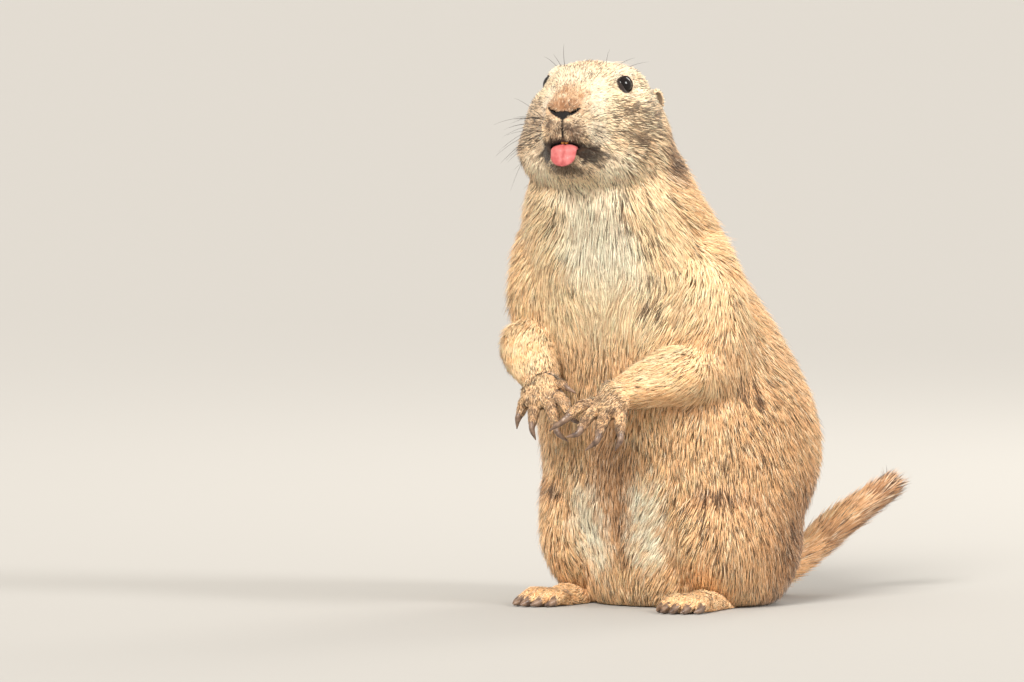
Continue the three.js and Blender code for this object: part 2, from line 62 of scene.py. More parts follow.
def along(stations, at):
    """A cubic through each column of the stations, whose first column is the place. At each
    station the slope is that of the line through its two neighbours."""
    rows = np.asarray(stations, float)
    place = rows[:, 0]
    at = np.atleast_1d(np.asarray(at, float))
    i = np.clip(np.searchsorted(place, at, side="right") - 1, 0, len(rows) - 2)
    before = np.maximum(i - 1, 0)
    after = np.minimum(i + 2, len(rows) - 1)
    span = (place[i + 1] - place[i])[:, None]
    t = np.clip((at - place[i])[:, None] / span, 0, 1)
    slope_in = (rows[i + 1] - rows[before]) / (place[i + 1] - place[before])[:, None] * span
    slope_out = (rows[after] - rows[i]) / (place[after] - place[i])[:, None] * span
    near = (2 * t**3 - 3 * t**2 + 1) * rows[i] + (t**3 - 2 * t**2 + t) * slope_in
    return near + (3 * t**2 - 2 * t**3) * rows[i + 1] + (t**3 - t**2) * slope_out


def smooth_step(low, high, x):
    """0 below low and 1 above high, with a soft S between them."""
    t = np.clip((x - low) / (high - low), 0, 1)
    return t * t * (3 - 2 * t)


def section_reach(c, s, side, depth, power):
    """The radius of a rounded section in direction (c, s): a superellipse of two half widths."""
    return (np.abs(c / side) ** power + np.abs(s / depth) ** power) ** (-1 / power)


def soft_larger(a, b, soft):
    """The larger of two lengths, raised by a parabola where they are nearly alike."""
    near = np.maximum(soft - np.abs(a - b), 0) / soft
    return np.maximum(a, b) + near * near * soft / 4


def turn_x(angle):
    """The matrix of a turn about X."""
    c, s = np.cos(angle), np.sin(angle)
    return np.array([[1, 0, 0], [0, c, -s], [0, s, c]])


def turn_y(angle):
    """The matrix of a turn about Y."""
    c, s = np.cos(angle), np.sin(angle)
    return np.array([[c, 0, s], [0, 1, 0], [-s, 0, c]])


def turn_z(angle):
    """The matrix of a turn about Z."""
    c, s = np.cos(angle), np.sin(angle)
    return np.array([[c, -s, 0], [s, c, 0], [0, 0, 1]])


def turn_to(direction):
    """The least turn that takes +Z to a direction, from the cross and dot products of the two."""
    x, y, z = unit(np.asarray(direction, float))
    cross = np.array([[0, 0, x], [0, 0, y], [-x, -y, 0]])
    return np.eye(3) + cross + cross @ cross / (1 + z)


# How far out the skirt of a swelling reaches, in its own radii
SKIRT = 1.7


def swelling(middle, radii, turn=np.eye(3)):
    """An ellipsoid swelling, as a function that gives where a ray leaves it: the far root of the
    ray in the ellipsoid's own unit frame, and past its edge a skirt that falls off to nothing."""

    def reach(start, direction):
        o = (start - np.asarray(middle, float)) @ turn / radii
        d = direction @ turn / radii
        a, b, c = (d * d).sum(-1), (o * d).sum(-1), (o * o).sum(-1)
        miss = c - b * b / a
        hit = (np.sqrt(np.maximum(a * (1 - miss), 0)) - b) / a
        fall = np.maximum(SKIRT**2 - miss, 0) / (SKIRT**2 - 1)
        return np.where(miss < 1, hit, np.maximum(-b, 0) / a * fall)

    return reach


# Trunk sections: height, middle x and y, half width, depth to the belly and to the back, turn
TRUNK = [
    (0, 0, 4, 41, 38, 38, 0),
    (5, 0, 4, 47, 44, 43, 0),
    (18, 0, 4, 52, 50, 48, 0),
    (38, 0, 3, 58, 54, 53, 0),
    (54, 0, 3, 66, 58, 58, 0),
    (74, 0, 4, 69.5, 61, 61, 0),
    (98, -1, -1.5, 68, 60, 61, 6),
    (131, -4, -14.8, 59.8, 52, 60, 13),
    (157, -7, -26.6, 53, 44, 53, 18),
    (182, -9, -35.8, 48, 39.5, 44, 18),
    (200, -10, -42, 42, 37, 40, 16),
    (216, -10.5, -46, 37, 32.5, 36, 13),
    (232, -11, -48, 29, 22, 28, 13),
    (243, -11, -49, 9, 8, 9, 13),
]
TRUNK_TOP = TRUNK[-1][0]
TRUNK_POWER = 2.15
BODY_SOFTNESS = 12
# How deep the coat lies over the trunk, at each height
TRUNK_COAT = [(0, 1.5), (12, 3.2), (40, 4.2), (80, 4.8), (130, 5.2), (175, 5.6), (215, 5.2), (243, 4)]
# Half widths of an upper arm, and how far it reaches past the shoulder and the elbow
ARM_HALF_WIDTHS = (17, 18)
ARM_OVERRUN = 13
SHOULDERS = {1: np.array([37.0, -30, 165]), -1: np.array([-43.0, -48, 172])}
ELBOWS = {1: np.array([46.0, -35, 116]), -1: np.array([-50.0, -43, 131])}
THIGH_MIDDLE = np.array([39.0, -6, 35])
THIGH_RADII = np.array([24.5, 42, 35])
THIGH_TILT = np.radians(-16)


def mirrored(point, side):
    """A point of the animal's left, or its mirror image on the right where side is -1."""
    return np.asarray(point, float) * (side, 1, 1)


def upper_arm(side):
    """The swelling of an upper arm: an ellipsoid from the shoulder to the elbow."""
    shoulder, elbow = SHOULDERS[side], ELBOWS[side]
    long = np.linalg.norm(elbow - shoulder) / 2 + ARM_OVERRUN
    return (shoulder + elbow) / 2, np.array([*ARM_HALF_WIDTHS, long]), turn_to(elbow - shoulder)


thigh_turn = turn_x(THIGH_TILT)
body_swellings = [swelling(mirrored(THIGH_MIDDLE, side), THIGH_RADII, thigh_turn) for side, _ in SIDES]
body_swellings += [swelling(*upper_arm(side)) for side, _ in SIDES]


def trunk_middle(height):
    """The trunk's middle line at each height, with its left and rear directions and section."""
    _, x, y, side, belly, back, turn = along(TRUNK, height).T
    c, s = np.cos(np.radians(turn)), np.sin(np.radians(turn))
    left, rear = columns_of(c, s, 0), columns_of(-s, c, 0)
    return columns_of(x, y, height), left, rear, side, belly, back


def trunk_reach(height, c, s):
    """The trunk's radius in direction (c, s) at each height, softly joined to its swellings."""
    middle, left, rear, side, belly, back = trunk_middle(height)
    direction = left * c[:, None] + rear * s[:, None]
    reach = section_reach(c, s, side, np.where(s < 0, belly, back), TRUNK_POWER)
    for lobe in body_swellings:
        reach = soft_larger(reach, lobe(middle, direction), BODY_SOFTNESS)
    return middle, direction, reach


def trunk_place(points):
    """Where points lie about the trunk: their distance outside it, height and angle from the
    front, positive to the left, and the level direction in which that angle grows."""
    height = np.clip(points[:, 2], 0, TRUNK_TOP)
    middle, left, rear, *_ = trunk_middle(height)
    away = points - middle
    c, s = (away * left).sum(-1), (away * rear).sum(-1)
    far = np.maximum(np.hypot(c, s), 1e-6)
    _, _, reach = trunk_reach(height, c / far, s / far)
    angle = np.arctan2(c, -s)
    around = left * np.cos(angle)[:, None] + rear * np.sin(angle)[:, None]
    over = np.maximum(points[:, 2] - TRUNK_TOP, 0)
    return np.hypot(far - reach, over) * np.where(far > reach, 1, -1), height, angle, around


def ring_angles(count):
    """Cosines and sines of equal steps round a circle."""
    angle = 2 * np.pi * np.arange(count) / count
    return np.cos(angle), np.sin(angle)


def loft(rings):
    """A closed skin of triangles over rings of points, each anticlockwise about the rings' path,
    with a fan to the middle of the first and of the last ring."""
    rows, count, _ = rings.shape
    points = np.concatenate([rings.reshape(-1, 3), rings[:1].mean(1), rings[-1:].mean(1)])
    k = np.arange(count)
    after = np.roll(k, -1)
    row = (np.arange(rows - 1) * count)[:, None]
    a, b, c, d = row + k, row + after, row + after + count, row + k + count
    last = (rows - 1) * count
    start, end = rows * count + 0 * k, rows * count + 1 + 0 * k
    sides = [columns_of(a, b, c).reshape(-1, 3), columns_of(a, c, d).reshape(-1, 3)]
    caps = [columns_of(start, after, k), columns_of(end, last + k, last + after)]
    return points, np.concatenate(sides + caps)


TRUNK_ROWS = 64
TRUNK_COLUMNS = 80
# The heights between which the trunk's skin is made
TRUNK_SHELL_ENDS = (0.4, TRUNK_TOP - 3)


def trunk_shell():
    """The trunk's skin: its sections drawn in by the depth of the coat."""
    c, s = ring_angles(TRUNK_COLUMNS)
    height = np.repeat(np.linspace(*TRUNK_SHELL_ENDS, TRUNK_ROWS), TRUNK_COLUMNS)
    middle, direction, reach = trunk_reach(height, np.tile(c, TRUNK_ROWS), np.tile(s, TRUNK_ROWS))
    depth = along(TRUNK_COAT, height)[:, 1]
    spots = middle + direction * (reach - depth)[:, None]
    return loft(spots.reshape(TRUNK_ROWS, TRUNK_COLUMNS, 3))


# The head has a frame of its own: +X is its left, +Y points back and +Z up.
HEAD_MIDDLE = np.array([-11.0, -52, 226.4])
HEAD_TURN = turn_z(np.radians(13)) @ turn_x(np.radians(-8))
# Head sections: place from the nape to the nose, half width, level of the widest line, crown,
# jaw, roundness of the upper half, and the depth of the coat on the crown and on the cheeks
HEAD = [
    (-33, 9, -6, 2, -14, 2, 4.5, 4.5),
    (-28, 22, -6, 14, -23, 2, 4.2, 5),
    (-18, 32, -7, 25.5, -29, 2.1, 3.2, 5),
    (-6, 36, -8, 32, -31, 2.1, 2.4, 4.8),
    (5, 36, -9, 34, -31, 2.05, 2.1, 4.4),
    (14, 33, -9, 33.5, -30, 2.2, 1.9, 3.8),
    (22, 26.3, -8, 30, -28, 2.8, 1.4, 2.4),
    (28, 19.5, -7, 26, -26, 3.1, 1.0, 1.5),
    (33, 15.2, -6, 21.6, -24.5, 3.2, 0.8, 1.0),
    (38, 12.8, -4, 17.2, -21.5, 2.8, 0.6, 0.7),
    (42.5, 11, -1, 13.6, -14, 2.5, 0.4, 0.5),
    (45.8, 8.6, 2, 10, -5, 2.3, 0.3, 0.4),
    (47.2, 4.6, 4.5, 7.2, 1.5, 2.2, 0.2, 0.3),
]
JAW_POWER = 2.15
HEAD_SOFTNESS = 4
# Rows of the head's skin crowd towards the nose by this power
HEAD_CROWDING = 0.85
HEAD_ROWS = 70
HEAD_COLUMNS = 84


def on_both_sides(x, y, z, radii):
    """The same swelling on the left and on the right."""
    return [swelling(mirrored((x, y, z), side), radii) for side, _ in SIDES]


# Brows, the pads of the muzzle, cheeks, the bridge of the nose and the chin
head_swellings = [
    *on_both_sides(16.5, -7, 23.5, [8.5, 13, 8]),
    *on_both_sides(6.0, -39.5, -3.5, [6.6, 7.2, 6.6]),
    *on_both_sides(21, -10, -13, [13.5, 17, 13]),
    swelling((0, -42.5, 6.6), [9.2, 5.2, 4.8]),
    swelling((0, -34, -17.5), [9.5, 8, 7]),
]
# The hollow that each eye sits in
ORBIT_MIDDLE = np.array([23.5, -14, 20.5])
ORBIT_RADIUS = 9.5
ORBIT_DEPTH = 3.6


def head_reach(at, c, s):
    """The head's radius in direction (c, s) at each place along it, with its swellings softly
    joined and the hollows that the eyes sit in pressed inwards."""
    _, side, mid, crown, jaw, taper, coat_crown, coat_cheek = along(HEAD, at).T
    middle, direction = columns_of(0, -at, mid), columns_of(c, 0, s)
    upper = section_reach(c, s, side, crown - mid, taper)
    lower = section_reach(c, s, side, mid - jaw, JAW_POWER)
    reach = np.where(s > 0, upper, lower)
    for lobe in head_swellings:
        reach = soft_larger(reach, lobe(middle, direction), HEAD_SOFTNESS)
    spot = middle + direction * reach[:, None]
    hollow = ORBIT_MIDDLE * columns_of(np.where(c < 0, -1, 1), 1, 1)
    away = np.linalg.norm(spot - hollow, axis=-1) / ORBIT_RADIUS
    reach = reach - ORBIT_DEPTH * np.maximum(1 - away**2, 0) ** 2
    low = smooth_step(-0.5, 0.75, -s)
    return middle, direction, reach, coat_crown + (coat_cheek - coat_crown) * low


def to_head(points):
    """Points of the body's frame in the head's own frame."""
    return (points - HEAD_MIDDLE) @ HEAD_TURN


def from_head(points):
    """Points of the head's frame in the body's frame."""
    return points @ HEAD_TURN.T + HEAD_MIDDLE


def head_place(points):
    """Where points lie about the head: their distance outside it, place along it and angle
    about its middle line, from the crown."""
    local = to_head(points)
    at = np.clip(-local[:, 1], HEAD[0][0], HEAD[-1][0])
    mid = along(HEAD, at)[:, 2]
    c, s = local[:, 0], local[:, 2] - mid
    far = np.maximum(np.hypot(c, s), 1e-6)
    reach = head_reach(at, c / far, s / far)[2]
    over = np.abs(-local[:, 1] - at)
    return np.hypot(np.maximum(far - reach, 0), over) + np.minimum(far - reach, 0), at, np.arctan2(c, s)


def head_shell():
    """The head's skin, with its rows crowded towards the nose."""
    c, s = ring_angles(HEAD_COLUMNS)
    start, end = HEAD[0][0], HEAD[-1][0]
    at = start + (end - start) * np.linspace(0, 1, HEAD_ROWS) ** HEAD_CROWDING
    middle, direction, reach, depth = head_reach(
        np.repeat(at, HEAD_COLUMNS), np.tile(c, HEAD_ROWS), np.tile(s, HEAD_ROWS)
    )
    spots = middle + direction * (reach - depth)[:, None]
    points, triangles = loft(spots.reshape(HEAD_ROWS, HEAD_COLUMNS, 3))
    return from_head(points), triangles


def curve(joints, t):
    """A centripetal Catmull-Rom curve through the joints: each span is a cubic whose end slopes
    come from the square roots of the distances between neighbours."""
    p = np.asarray(joints, float)
    p = np.concatenate([[2 * p[0] - p[1]], p, [2 * p[-1] - p[-2]]])
    place = np.clip(np.asarray(t, float), 0, 1) * (len(p) - 3)
    i = np.minimum(place.astype(int), len(p) - 4)
    w = (place - i)[:, None]
    gap = np.sqrt(np.linalg.norm(np.diff(p, axis=0), axis=-1))[:, None]
    before, here, after = gap[i], gap[i + 1], gap[i + 2]
    a, b, c, d = p[i], p[i + 1], p[i + 2], p[i + 3]
    slope_in = ((b - a) / before - (c - a) / (before + here) + (c - b) / here) * here
    slope_out = ((c - b) / here - (d - b) / (here + after) + (d - c) / after) * here
    cubic = (2 * b - 2 * c + slope_in + slope_out) * w**3
    return cubic + (3 * c - 3 * b - 2 * slope_in - slope_out) * w**2 + slope_in * w + b


def limb(joints, sizes, upward=(0, 0, 1), dome=0.0, steps=40):
    """A limb along a curve: at each step its middle, its directions ahead, across and up, and
    its half width and half thickness, which run smoothly from joint to joint."""
    t = np.linspace(0, 1, steps + 1)
    middle = curve(joints, t)
    ahead = unit(curve(joints, np.minimum(t + 0.004, 1)) - curve(joints, np.maximum(t - 0.004, 0)))
    across = unit(np.cross(np.asarray(upward, float), ahead))
    shares = np.linspace(0, 1, len(sizes))
    wide, thick = along([(share, *size) for share, size in zip(shares, sizes)], t)[:, 1:].T
    return {"middle": middle, "ahead": ahead, "across": across, "rise": np.cross(ahead, across),
            "wide": wide, "thick": thick, "dome": dome}


def limb_shell(form, inset=0.0, count=28, rounding=6):
    """A limb's skin: an ellipse at each step, and a dome of shrinking ellipses past its end."""
    c, s = ring_angles(count)
    lift = np.linspace(0, np.pi / 2, rounding + 1)[1:-1] if form["dome"] else np.zeros(0)
    last = np.full(len(lift), -1)
    pick = np.concatenate([np.arange(len(form["middle"])), last])
    share = np.concatenate([np.ones(len(form["middle"])), np.cos(lift)])[:, None, None]
    push = np.concatenate([np.zeros(len(form["middle"])), (form["dome"] - inset) * np.sin(lift)])
    wide = c[None, :, None] * (form["wide"][pick] - inset)[:, None, None] * share
    thick = s[None, :, None] * (form["thick"][pick] - inset)[:, None, None] * share
    middle = form["middle"][pick] + form["ahead"][pick] * push[:, None]
    return loft(middle[:, None] + form["across"][pick][:, None] * wide + form["rise"][pick][:, None] * thick)


BATCH = 50000


def limb_place(form, points):
    """Where points lie about a limb: their distance outside it, its direction there, the share
    of its length and the angle round it, all at the nearest step of its middle line."""
    nearest = np.empty(len(points), int)
    for start in range(0, len(points), BATCH):
        some = points[start:start + BATCH]
        gaps = (some**2).sum(-1)[:, None] - 2 * some @ form["middle"].T + (form["middle"] ** 2).sum(-1)
        nearest[start:start + BATCH] = gaps.argmin(-1)
    away = points - form["middle"][nearest]
    a = (away * form["across"][nearest]).sum(-1)
    b = (away * form["rise"][nearest]).sum(-1)
    over = (away * form["ahead"][nearest]).sum(-1)
    over = np.where((nearest == 0) | (nearest == len(form["middle"]) - 1), over, 0)
    wide, thick = form["wide"][nearest], form["thick"][nearest]
    size = (wide + thick) / 2
    past = over / np.where(over > 0, max(form["dome"], 1.0), size)
    ratio = np.sqrt((a / wide) ** 2 + (b / thick) ** 2 + past**2)
    share = nearest / (len(form["middle"]) - 1)
    return (ratio - 1) * size, form["ahead"][nearest], share, np.arctan2(b, a)


# The forelimbs: elbow to wrist, then the knuckles, and each digit from its knuckle to its end
# and on to the claw's tip. The last digit of each is the thumb.
PAWS = {
    1: {
        "forearm": [(47, -31, 117), (34, -55, 112), (16.5, -75, 104)],
        "knuckles": (14.8, -84.5, 96.5),
        "digits": [
            [(7.5, -84, 99.5), (1.5, -93, 94.6), (-7.5, -98, 87)],
            [(11.5, -86, 96.5), (9.5, -96, 89), (3.9, -101, 84.5)],
            [(17, -85, 95), (19.2, -95.5, 86.5), (13.9, -99.5, 78.5)],
            [(21.8, -81.5, 96), (26.5, -88.5, 86.5), (25.8, -92, 78.5)],
            [(9, -78, 101), (3.5, -80, 97.5), (0, -80.5, 93.5)],
        ],
    },
    -1: {
        "forearm": [(-51, -42, 132), (-41, -63, 121), (-26, -76, 108)],
        "knuckles": (-22.8, -83, 100.5),
        "digits": [
            [(-31, -80, 101.5), (-33, -84.5, 94), (-34.8, -85, 86.5)],
            [(-25.5, -83, 99.5), (-23.4, -88.5, 90.2), (-20.8, -90, 82)],
            [(-18.5, -83, 99.5), (-11, -87.5, 89.3), (-4.4, -87, 81.5)],
            [(-14.5, -81, 102.5), (-5.5, -84.5, 95.3), (1.2, -84, 89.5)],
            [(-18, -77, 108), (-11.6, -78.5, 107), (-5.8, -78, 104)],
        ],
    },
}
FOREARM_SIZES = [(10, 10), (15.5, 15), (13, 12.5), (9, 8.8)]
PALM_SIZES = [(8.8, 8.6), (10, 6.8), (10, 5)]
DIGIT_RADIUS = 3.1
THUMB_RADIUS = 2.4
DIGIT_ARCH = 0.12
# Half width and half thickness from the knuckle to the end, in shares of the digit's radius
DIGIT_SHARES = [(1, 1), (0.94, 0.94), (0.98, 0.98), (0.86, 0.86), (0.72, 0.74)]


def digit_joints(knuckle, end):
    """A digit's bend: half way from its knuckle to its end, raised by a share of its length."""
    knuckle, end = np.asarray(knuckle, float), np.asarray(end, float)
    raised = np.array([0, 0, DIGIT_ARCH * np.linalg.norm(end - knuckle)])
    return [knuckle, (knuckle + end) / 2 + raised, end]


def digit(knuckle, end, radius):
    """A digit of round section, a little thinner at its end, with a knob round its knuckle."""
    sizes = [(radius * wide, radius * thick) for wide, thick in DIGIT_SHARES]
    joints = digit_joints(knuckle, end)
    return limb(joints, sizes, dome=radius * 0.5, steps=14)


FOOT_HEEL = np.array([35.0, 4, 1])
FOOT_BALL = np.array([40.0, -46, 1])
FOOT_SIZES = [(7.5, 11), (8.5, 11), (11.5, 7.5)]
TOE_RADIUS = 3.7
TOE_SPREAD = [-8.6, -4.6, 0, 4.6, 8.6]
TOE_REACH = [11, 16, 17.5, 16, 11]
HIND_CLAW_LENGTH = 7.5
TAIL_PATH = [(3, 42, 14), (12, 60, 12), (20, 74, 17), (31, 95, 33), (43, 119, 49)]
TAIL_SIZES = [(12, 10.5), (11, 9.5), (10, 8.5), (10, 8.5), (8, 7)]


def toe_joints(side):
    """The knuckle, end and claw tip of each toe, fanned out from the ball of the foot."""
    ball = mirrored(FOOT_BALL, side)
    ahead = unit(ball - mirrored(FOOT_HEEL, side))
    across = unit(np.cross((0, 0, 1), ahead))
    toes = []
    for spread, reach in zip(TOE_SPREAD, TOE_REACH):
        knuckle = ball + across * spread * side * 0.8 + (0, 0, TOE_RADIUS - 1)
        end = knuckle + ahead * reach + across * spread * side * 0.35
        end[2] = TOE_RADIUS - 0.7
        tip = end + ahead * HIND_CLAW_LENGTH
        tip[2] = 1.2
        toes.append([knuckle, end, tip])
    return toes


# Each limb by name, the depth that its coat takes from its size, and each claw by name, with its
# digit, the claw's tip and the digit's radius
COAT_INSETS = {"forearm": 2.4, "palm": 0.9, "digit": 0.35, "foot": 1.1, "toe": 0.5, "tail": 4.6}
limbs, claws = {}, {}
for side, side_name in SIDES:
    paw = PAWS[side]
    wrist = np.asarray(paw["forearm"][-1], float)
    knuckles = np.asarray(paw["knuckles"], float)
    limbs[f"forearm_{side_name}"] = limb(paw["forearm"], FOREARM_SIZES)
    limbs[f"palm_{side_name}"] = limb([wrist, (wrist + knuckles) / 2, knuckles], PALM_SIZES, dome=5, steps=20)
    for number, (knuckle, end, tip) in enumerate(paw["digits"], 1):
        name = f"digit_{side_name}_{number}"
        radius = THUMB_RADIUS if number == 5 else DIGIT_RADIUS
        limbs[name] = digit(knuckle, end, radius)
        claws[f"fore_claw_{side_name}_{number}"] = (limbs[name], np.asarray(tip, float), radius)
    foot_middle = (mirrored(FOOT_HEEL, side) + mirrored(FOOT_BALL, side)) / 2
    limbs[f"foot_{side_name}"] = limb(
        [mirrored(FOOT_HEEL, side), foot_middle, mirrored(FOOT_BALL, side)], FOOT_SIZES, dome=9, steps=24)
    for number, (knuckle, end, tip) in enumerate(toe_joints(side), 1):
        name = f"toe_{side_name}_{number}"
        limbs[name] = digit(knuckle, end, TOE_RADIUS)
        claws[f"hind_claw_{side_name}_{number}"] = (limbs[name], tip, TOE_RADIUS)
limbs["tail"] = limb(TAIL_PATH, TAIL_SIZES, dome=6)
insets = {name: COAT_INSETS[name.split("_")[0]] for name in limbs}

# Ears: low cups behind the eyes, open forwards and out
EAR_MIDDLE = np.array([25.5, 9, 16.6])
EAR_RADII = np.array([3.7, 3.9, 5.5])
EAR_HOLLOW = np.array([2.5, -2.4, 0.3])
EAR_HOLLOW_RADII = np.array([2.7, 3.0, 4.1])
EAR_TURN = 0.3
# Eyes, and the openings of the face, in the head's frame
EYE_RADIUS = 5.2
EYE_PLAY = 0.05
EYE_PLACE = np.array([16.8, -16.1, 21])
EYE_LOOK = unit(np.array([0.8, -0.58, 0.14]))
LID_LEVEL = 1.12
LID_UPRIGHT = 0.78
LID_TILT = 0.34
LID_THICKNESS = 0.75
MOUTH_MIDDLE = np.array([0.0, -34, -12.5])
MOUTH_RADII = np.array([8.8, 14, 2.7])
MOUTH_PITCH = np.radians(-11)
LIP_MIDDLE = np.array([0.0, -31.5, -12.6])
LIP_RADII = np.array([12.0, 12.5, 0.7])
NOSTRIL_MIDDLE = np.array([4.4, -46.2, 5.4])
NOSTRIL_RADII = np.array([3.2, 3.2, 0.85])
NOSTRIL_TURN = 0.38
FURROW_MIDDLE = np.array([0.0, -46.5, -0.8])
FURROW_RADII = np.array([0.5, 2.6, 4.8])


def ball_shell(middle, radii, turn=np.eye(3), rows=20, count=32):
    """An ellipsoid of level rings, closed by a small ring at either pole, in the head's frame."""
    c, s = ring_angles(count)
    lift = np.linspace(-np.pi / 2, np.pi / 2, rows + 1)
    lift[0], lift[-1] = lift[0] + 0.03, lift[-1] - 0.03
    wide = np.cos(lift)[:, None]
    globe = columns_of(wide * c, wide * s, np.sin(lift)[:, None] + 0 * c)
    points, triangles = loft((globe * radii) @ turn.T + middle)
    return from_head(points), triangles


def looking(side):
    """The frame of an eye: level, upright and outward directions as columns."""
    look = EYE_LOOK * (side, 1, 1)
    level = unit(np.cross((0, 0, 1), look))
    return np.stack([level, np.cross(look, level), look], axis=1)


def lid_angle(c, s, side):
    """How far from the line of sight the lids meet the ball, in each direction round it: an
    ellipse of two angles, tilted so that its outer end is higher."""
    tilt = LID_TILT * side
    along_slit = c * np.cos(tilt) + s * np.sin(tilt)
    across_slit = s * np.cos(tilt) - c * np.sin(tilt)
    return 1 / np.hypot(along_slit / LID_LEVEL, across_slit / LID_UPRIGHT)


def lid_shell(side, rows=40, count=16):
    """The rim of an eye's lids: a tube that runs round the ball at the lids' angle, where each
    of its own rings lies across the tube's way on the ball."""
    facing = looking(side)
    c, s = ring_angles(rows)
    round_c, round_s = ring_angles(count)
    angle = lid_angle(c, s, side)
    outward = columns_of(np.sin(angle) * c, np.sin(angle) * s, np.cos(angle))
    away = columns_of(np.cos(angle) * c, np.cos(angle) * s, -np.sin(angle))
    tube = outward[:, None] * (EYE_RADIUS + LID_THICKNESS * round_s)[:, None]
    flat = tube + away[:, None] * (LID_THICKNESS * round_c)[:, None]
    points = flat.reshape(-1, 3) @ facing.T + mirrored(EYE_PLACE, side)
    k, j = np.meshgrid(np.arange(rows), np.arange(count), indexing="ij")
    here, beside = k * count + j, k * count + (j + 1) % count
    ahead, corner = (k + 1) % rows * count + j, (k + 1) % rows * count + (j + 1) % count
    quads = [columns_of(here, ahead, corner).reshape(-1, 3), columns_of(here, corner, beside).reshape(-1, 3)]
    return from_head(points), np.concatenate(quads)


def make_mesh(name, points, triangles):
    """A smooth mesh of triangles, moved from millimetres of the working frame to metres."""
    mesh = bpy.data.meshes.new(name)
    mesh.vertices.add(len(points))
    mesh.vertices.foreach_set("co", ((points - SEAT_MIDDLE) * MM).astype(np.float32).ravel())
    mesh.loops.add(3 * len(triangles))
    mesh.loops.foreach_set("vertex_index", triangles.astype(np.int32).ravel())
    mesh.polygons.add(len(triangles))
    mesh.polygons.foreach_set("loop_start", np.arange(0, 3 * len(triangles), 3, dtype=np.int32))
    mesh.polygons.foreach_set("use_smooth", np.ones(len(triangles), bool))
    mesh.update(calc_edges=True)
    return mesh


def add_piece(name, mesh, slot_name, *nodes):
    """Links a mesh to the scene as a piece that rides on the body and stands for its nodes."""
    piece = bpy.data.objects.new(name, mesh)
    bpy.context.scene.collection.objects.link(piece)
    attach(piece, "root")
    if nodes:
        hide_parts(*nodes)
    return piece


def joined(shells):
    """Several skins as one set of points and triangles."""
    starts = np.cumsum([0] + [len(points) for points, _ in shells[:-1]])
    points = np.concatenate([points for points, _ in shells])
    return points, np.concatenate([triangles + start for (_, triangles), start in zip(shells, starts)])


def baked(piece):
    """The piece's mesh with its modifiers applied, which are then removed."""
    depsgraph = bpy.context.evaluated_depsgraph_get()
    mesh = bpy.data.meshes.new_from_object(piece.evaluated_get(depsgraph))
    piece.modifiers.clear()
    old = piece.data
    piece.data = mesh
    bpy.data.meshes.remove(old)
    return piece


def scratch(name, shells):
    """A helper object that isn't part of the model."""
    helper = bpy.data.objects.new(name, make_mesh(name, *joined(shells)))
    bpy.context.scene.collection.objects.link(helper)
    return helper


def cut(piece, tools):
    """The piece less each of the tools' closed shapes."""
    for tool in tools:
        step = piece.modifiers.new("cut", "BOOLEAN")
        step.operation = "DIFFERENCE"
        step.solver = "EXACT"
        step.object = tool
        baked(piece)
    return piece


def read_mesh(mesh):
    """A mesh's points in millimetres of the working frame, its triangles and point normals."""
    points = np.empty(len(mesh.vertices) * 3, np.float32)
    mesh.vertices.foreach_get("co", points)
    mesh.calc_loop_triangles()
    triangles = np.empty(len(mesh.loop_triangles) * 3, np.int32)
    mesh.loop_triangles.foreach_get("vertices", triangles)
    normals = np.empty(len(mesh.vertices) * 3, np.float32)
    mesh.vertex_normals.foreach_get("vector", normals)
    return (points.reshape(-1, 3).astype(float) / MM + SEAT_MIDDLE,
            triangles.reshape(-1, 3), normals.reshape(-1, 3).astype(float))


mouth_turn = turn_x(MOUTH_PITCH)
face_tools = [
    scratch("mouth_tool", [ball_shell(MOUTH_MIDDLE, MOUTH_RADII, mouth_turn)]),
    scratch("lip_tool", [ball_shell(LIP_MIDDLE, LIP_RADII, mouth_turn, count=64)]),
    scratch("furrow_tool", [ball_shell(FURROW_MIDDLE, FURROW_RADII)]),
    scratch("nostril_tool", [
        ball_shell(mirrored(NOSTRIL_MIDDLE, side), NOSTRIL_RADII, turn_y(-side * NOSTRIL_TURN))
        for side, _ in SIDES]),
    scratch("socket_tool", [
        ball_shell(mirrored(EYE_PLACE, side), np.full(3, EYE_RADIUS + EYE_PLAY)) for side, _ in SIDES]),
]
head_form = scratch("head_form", [head_shell()])
cut(head_form, face_tools)
trunk_form = scratch("trunk_form", [trunk_shell()])
cut(trunk_form, face_tools[:1])
ear_tool = scratch("ear_tool", [
    ball_shell(mirrored(EAR_MIDDLE + EAR_HOLLOW, side), EAR_HOLLOW_RADII, turn_z(side * EAR_TURN))
    for side, _ in SIDES])
ears = scratch("ears", [
    ball_shell(mirrored(EAR_MIDDLE, side), EAR_RADII, turn_z(side * EAR_TURN)) for side, _ in SIDES])
cut(ears, [ear_tool])
lids = scratch("lids", [lid_shell(side) for side, _ in SIDES])
cut(lids, [face_tools[-1]])

shells = [read_mesh(form.data)[:2] for form in (head_form, trunk_form, ears, lids)]
shells += [limb_shell(form, insets[name]) for name, form in limbs.items()]
for points, _ in shells:
    points[:, 2] = np.maximum(points[:, 2], FLOOR_CLEARANCE)
for helper in [*face_tools, head_form, trunk_form, ear_tool, ears, lids]:
    bpy.data.objects.remove(helper)

# Every part of the body has its own coat. By the elbows that of the forearms turns downwards.
PARTS = ["trunk", "head", *limbs]
ELBOW_FALL = np.array([0, 0, -1.6])


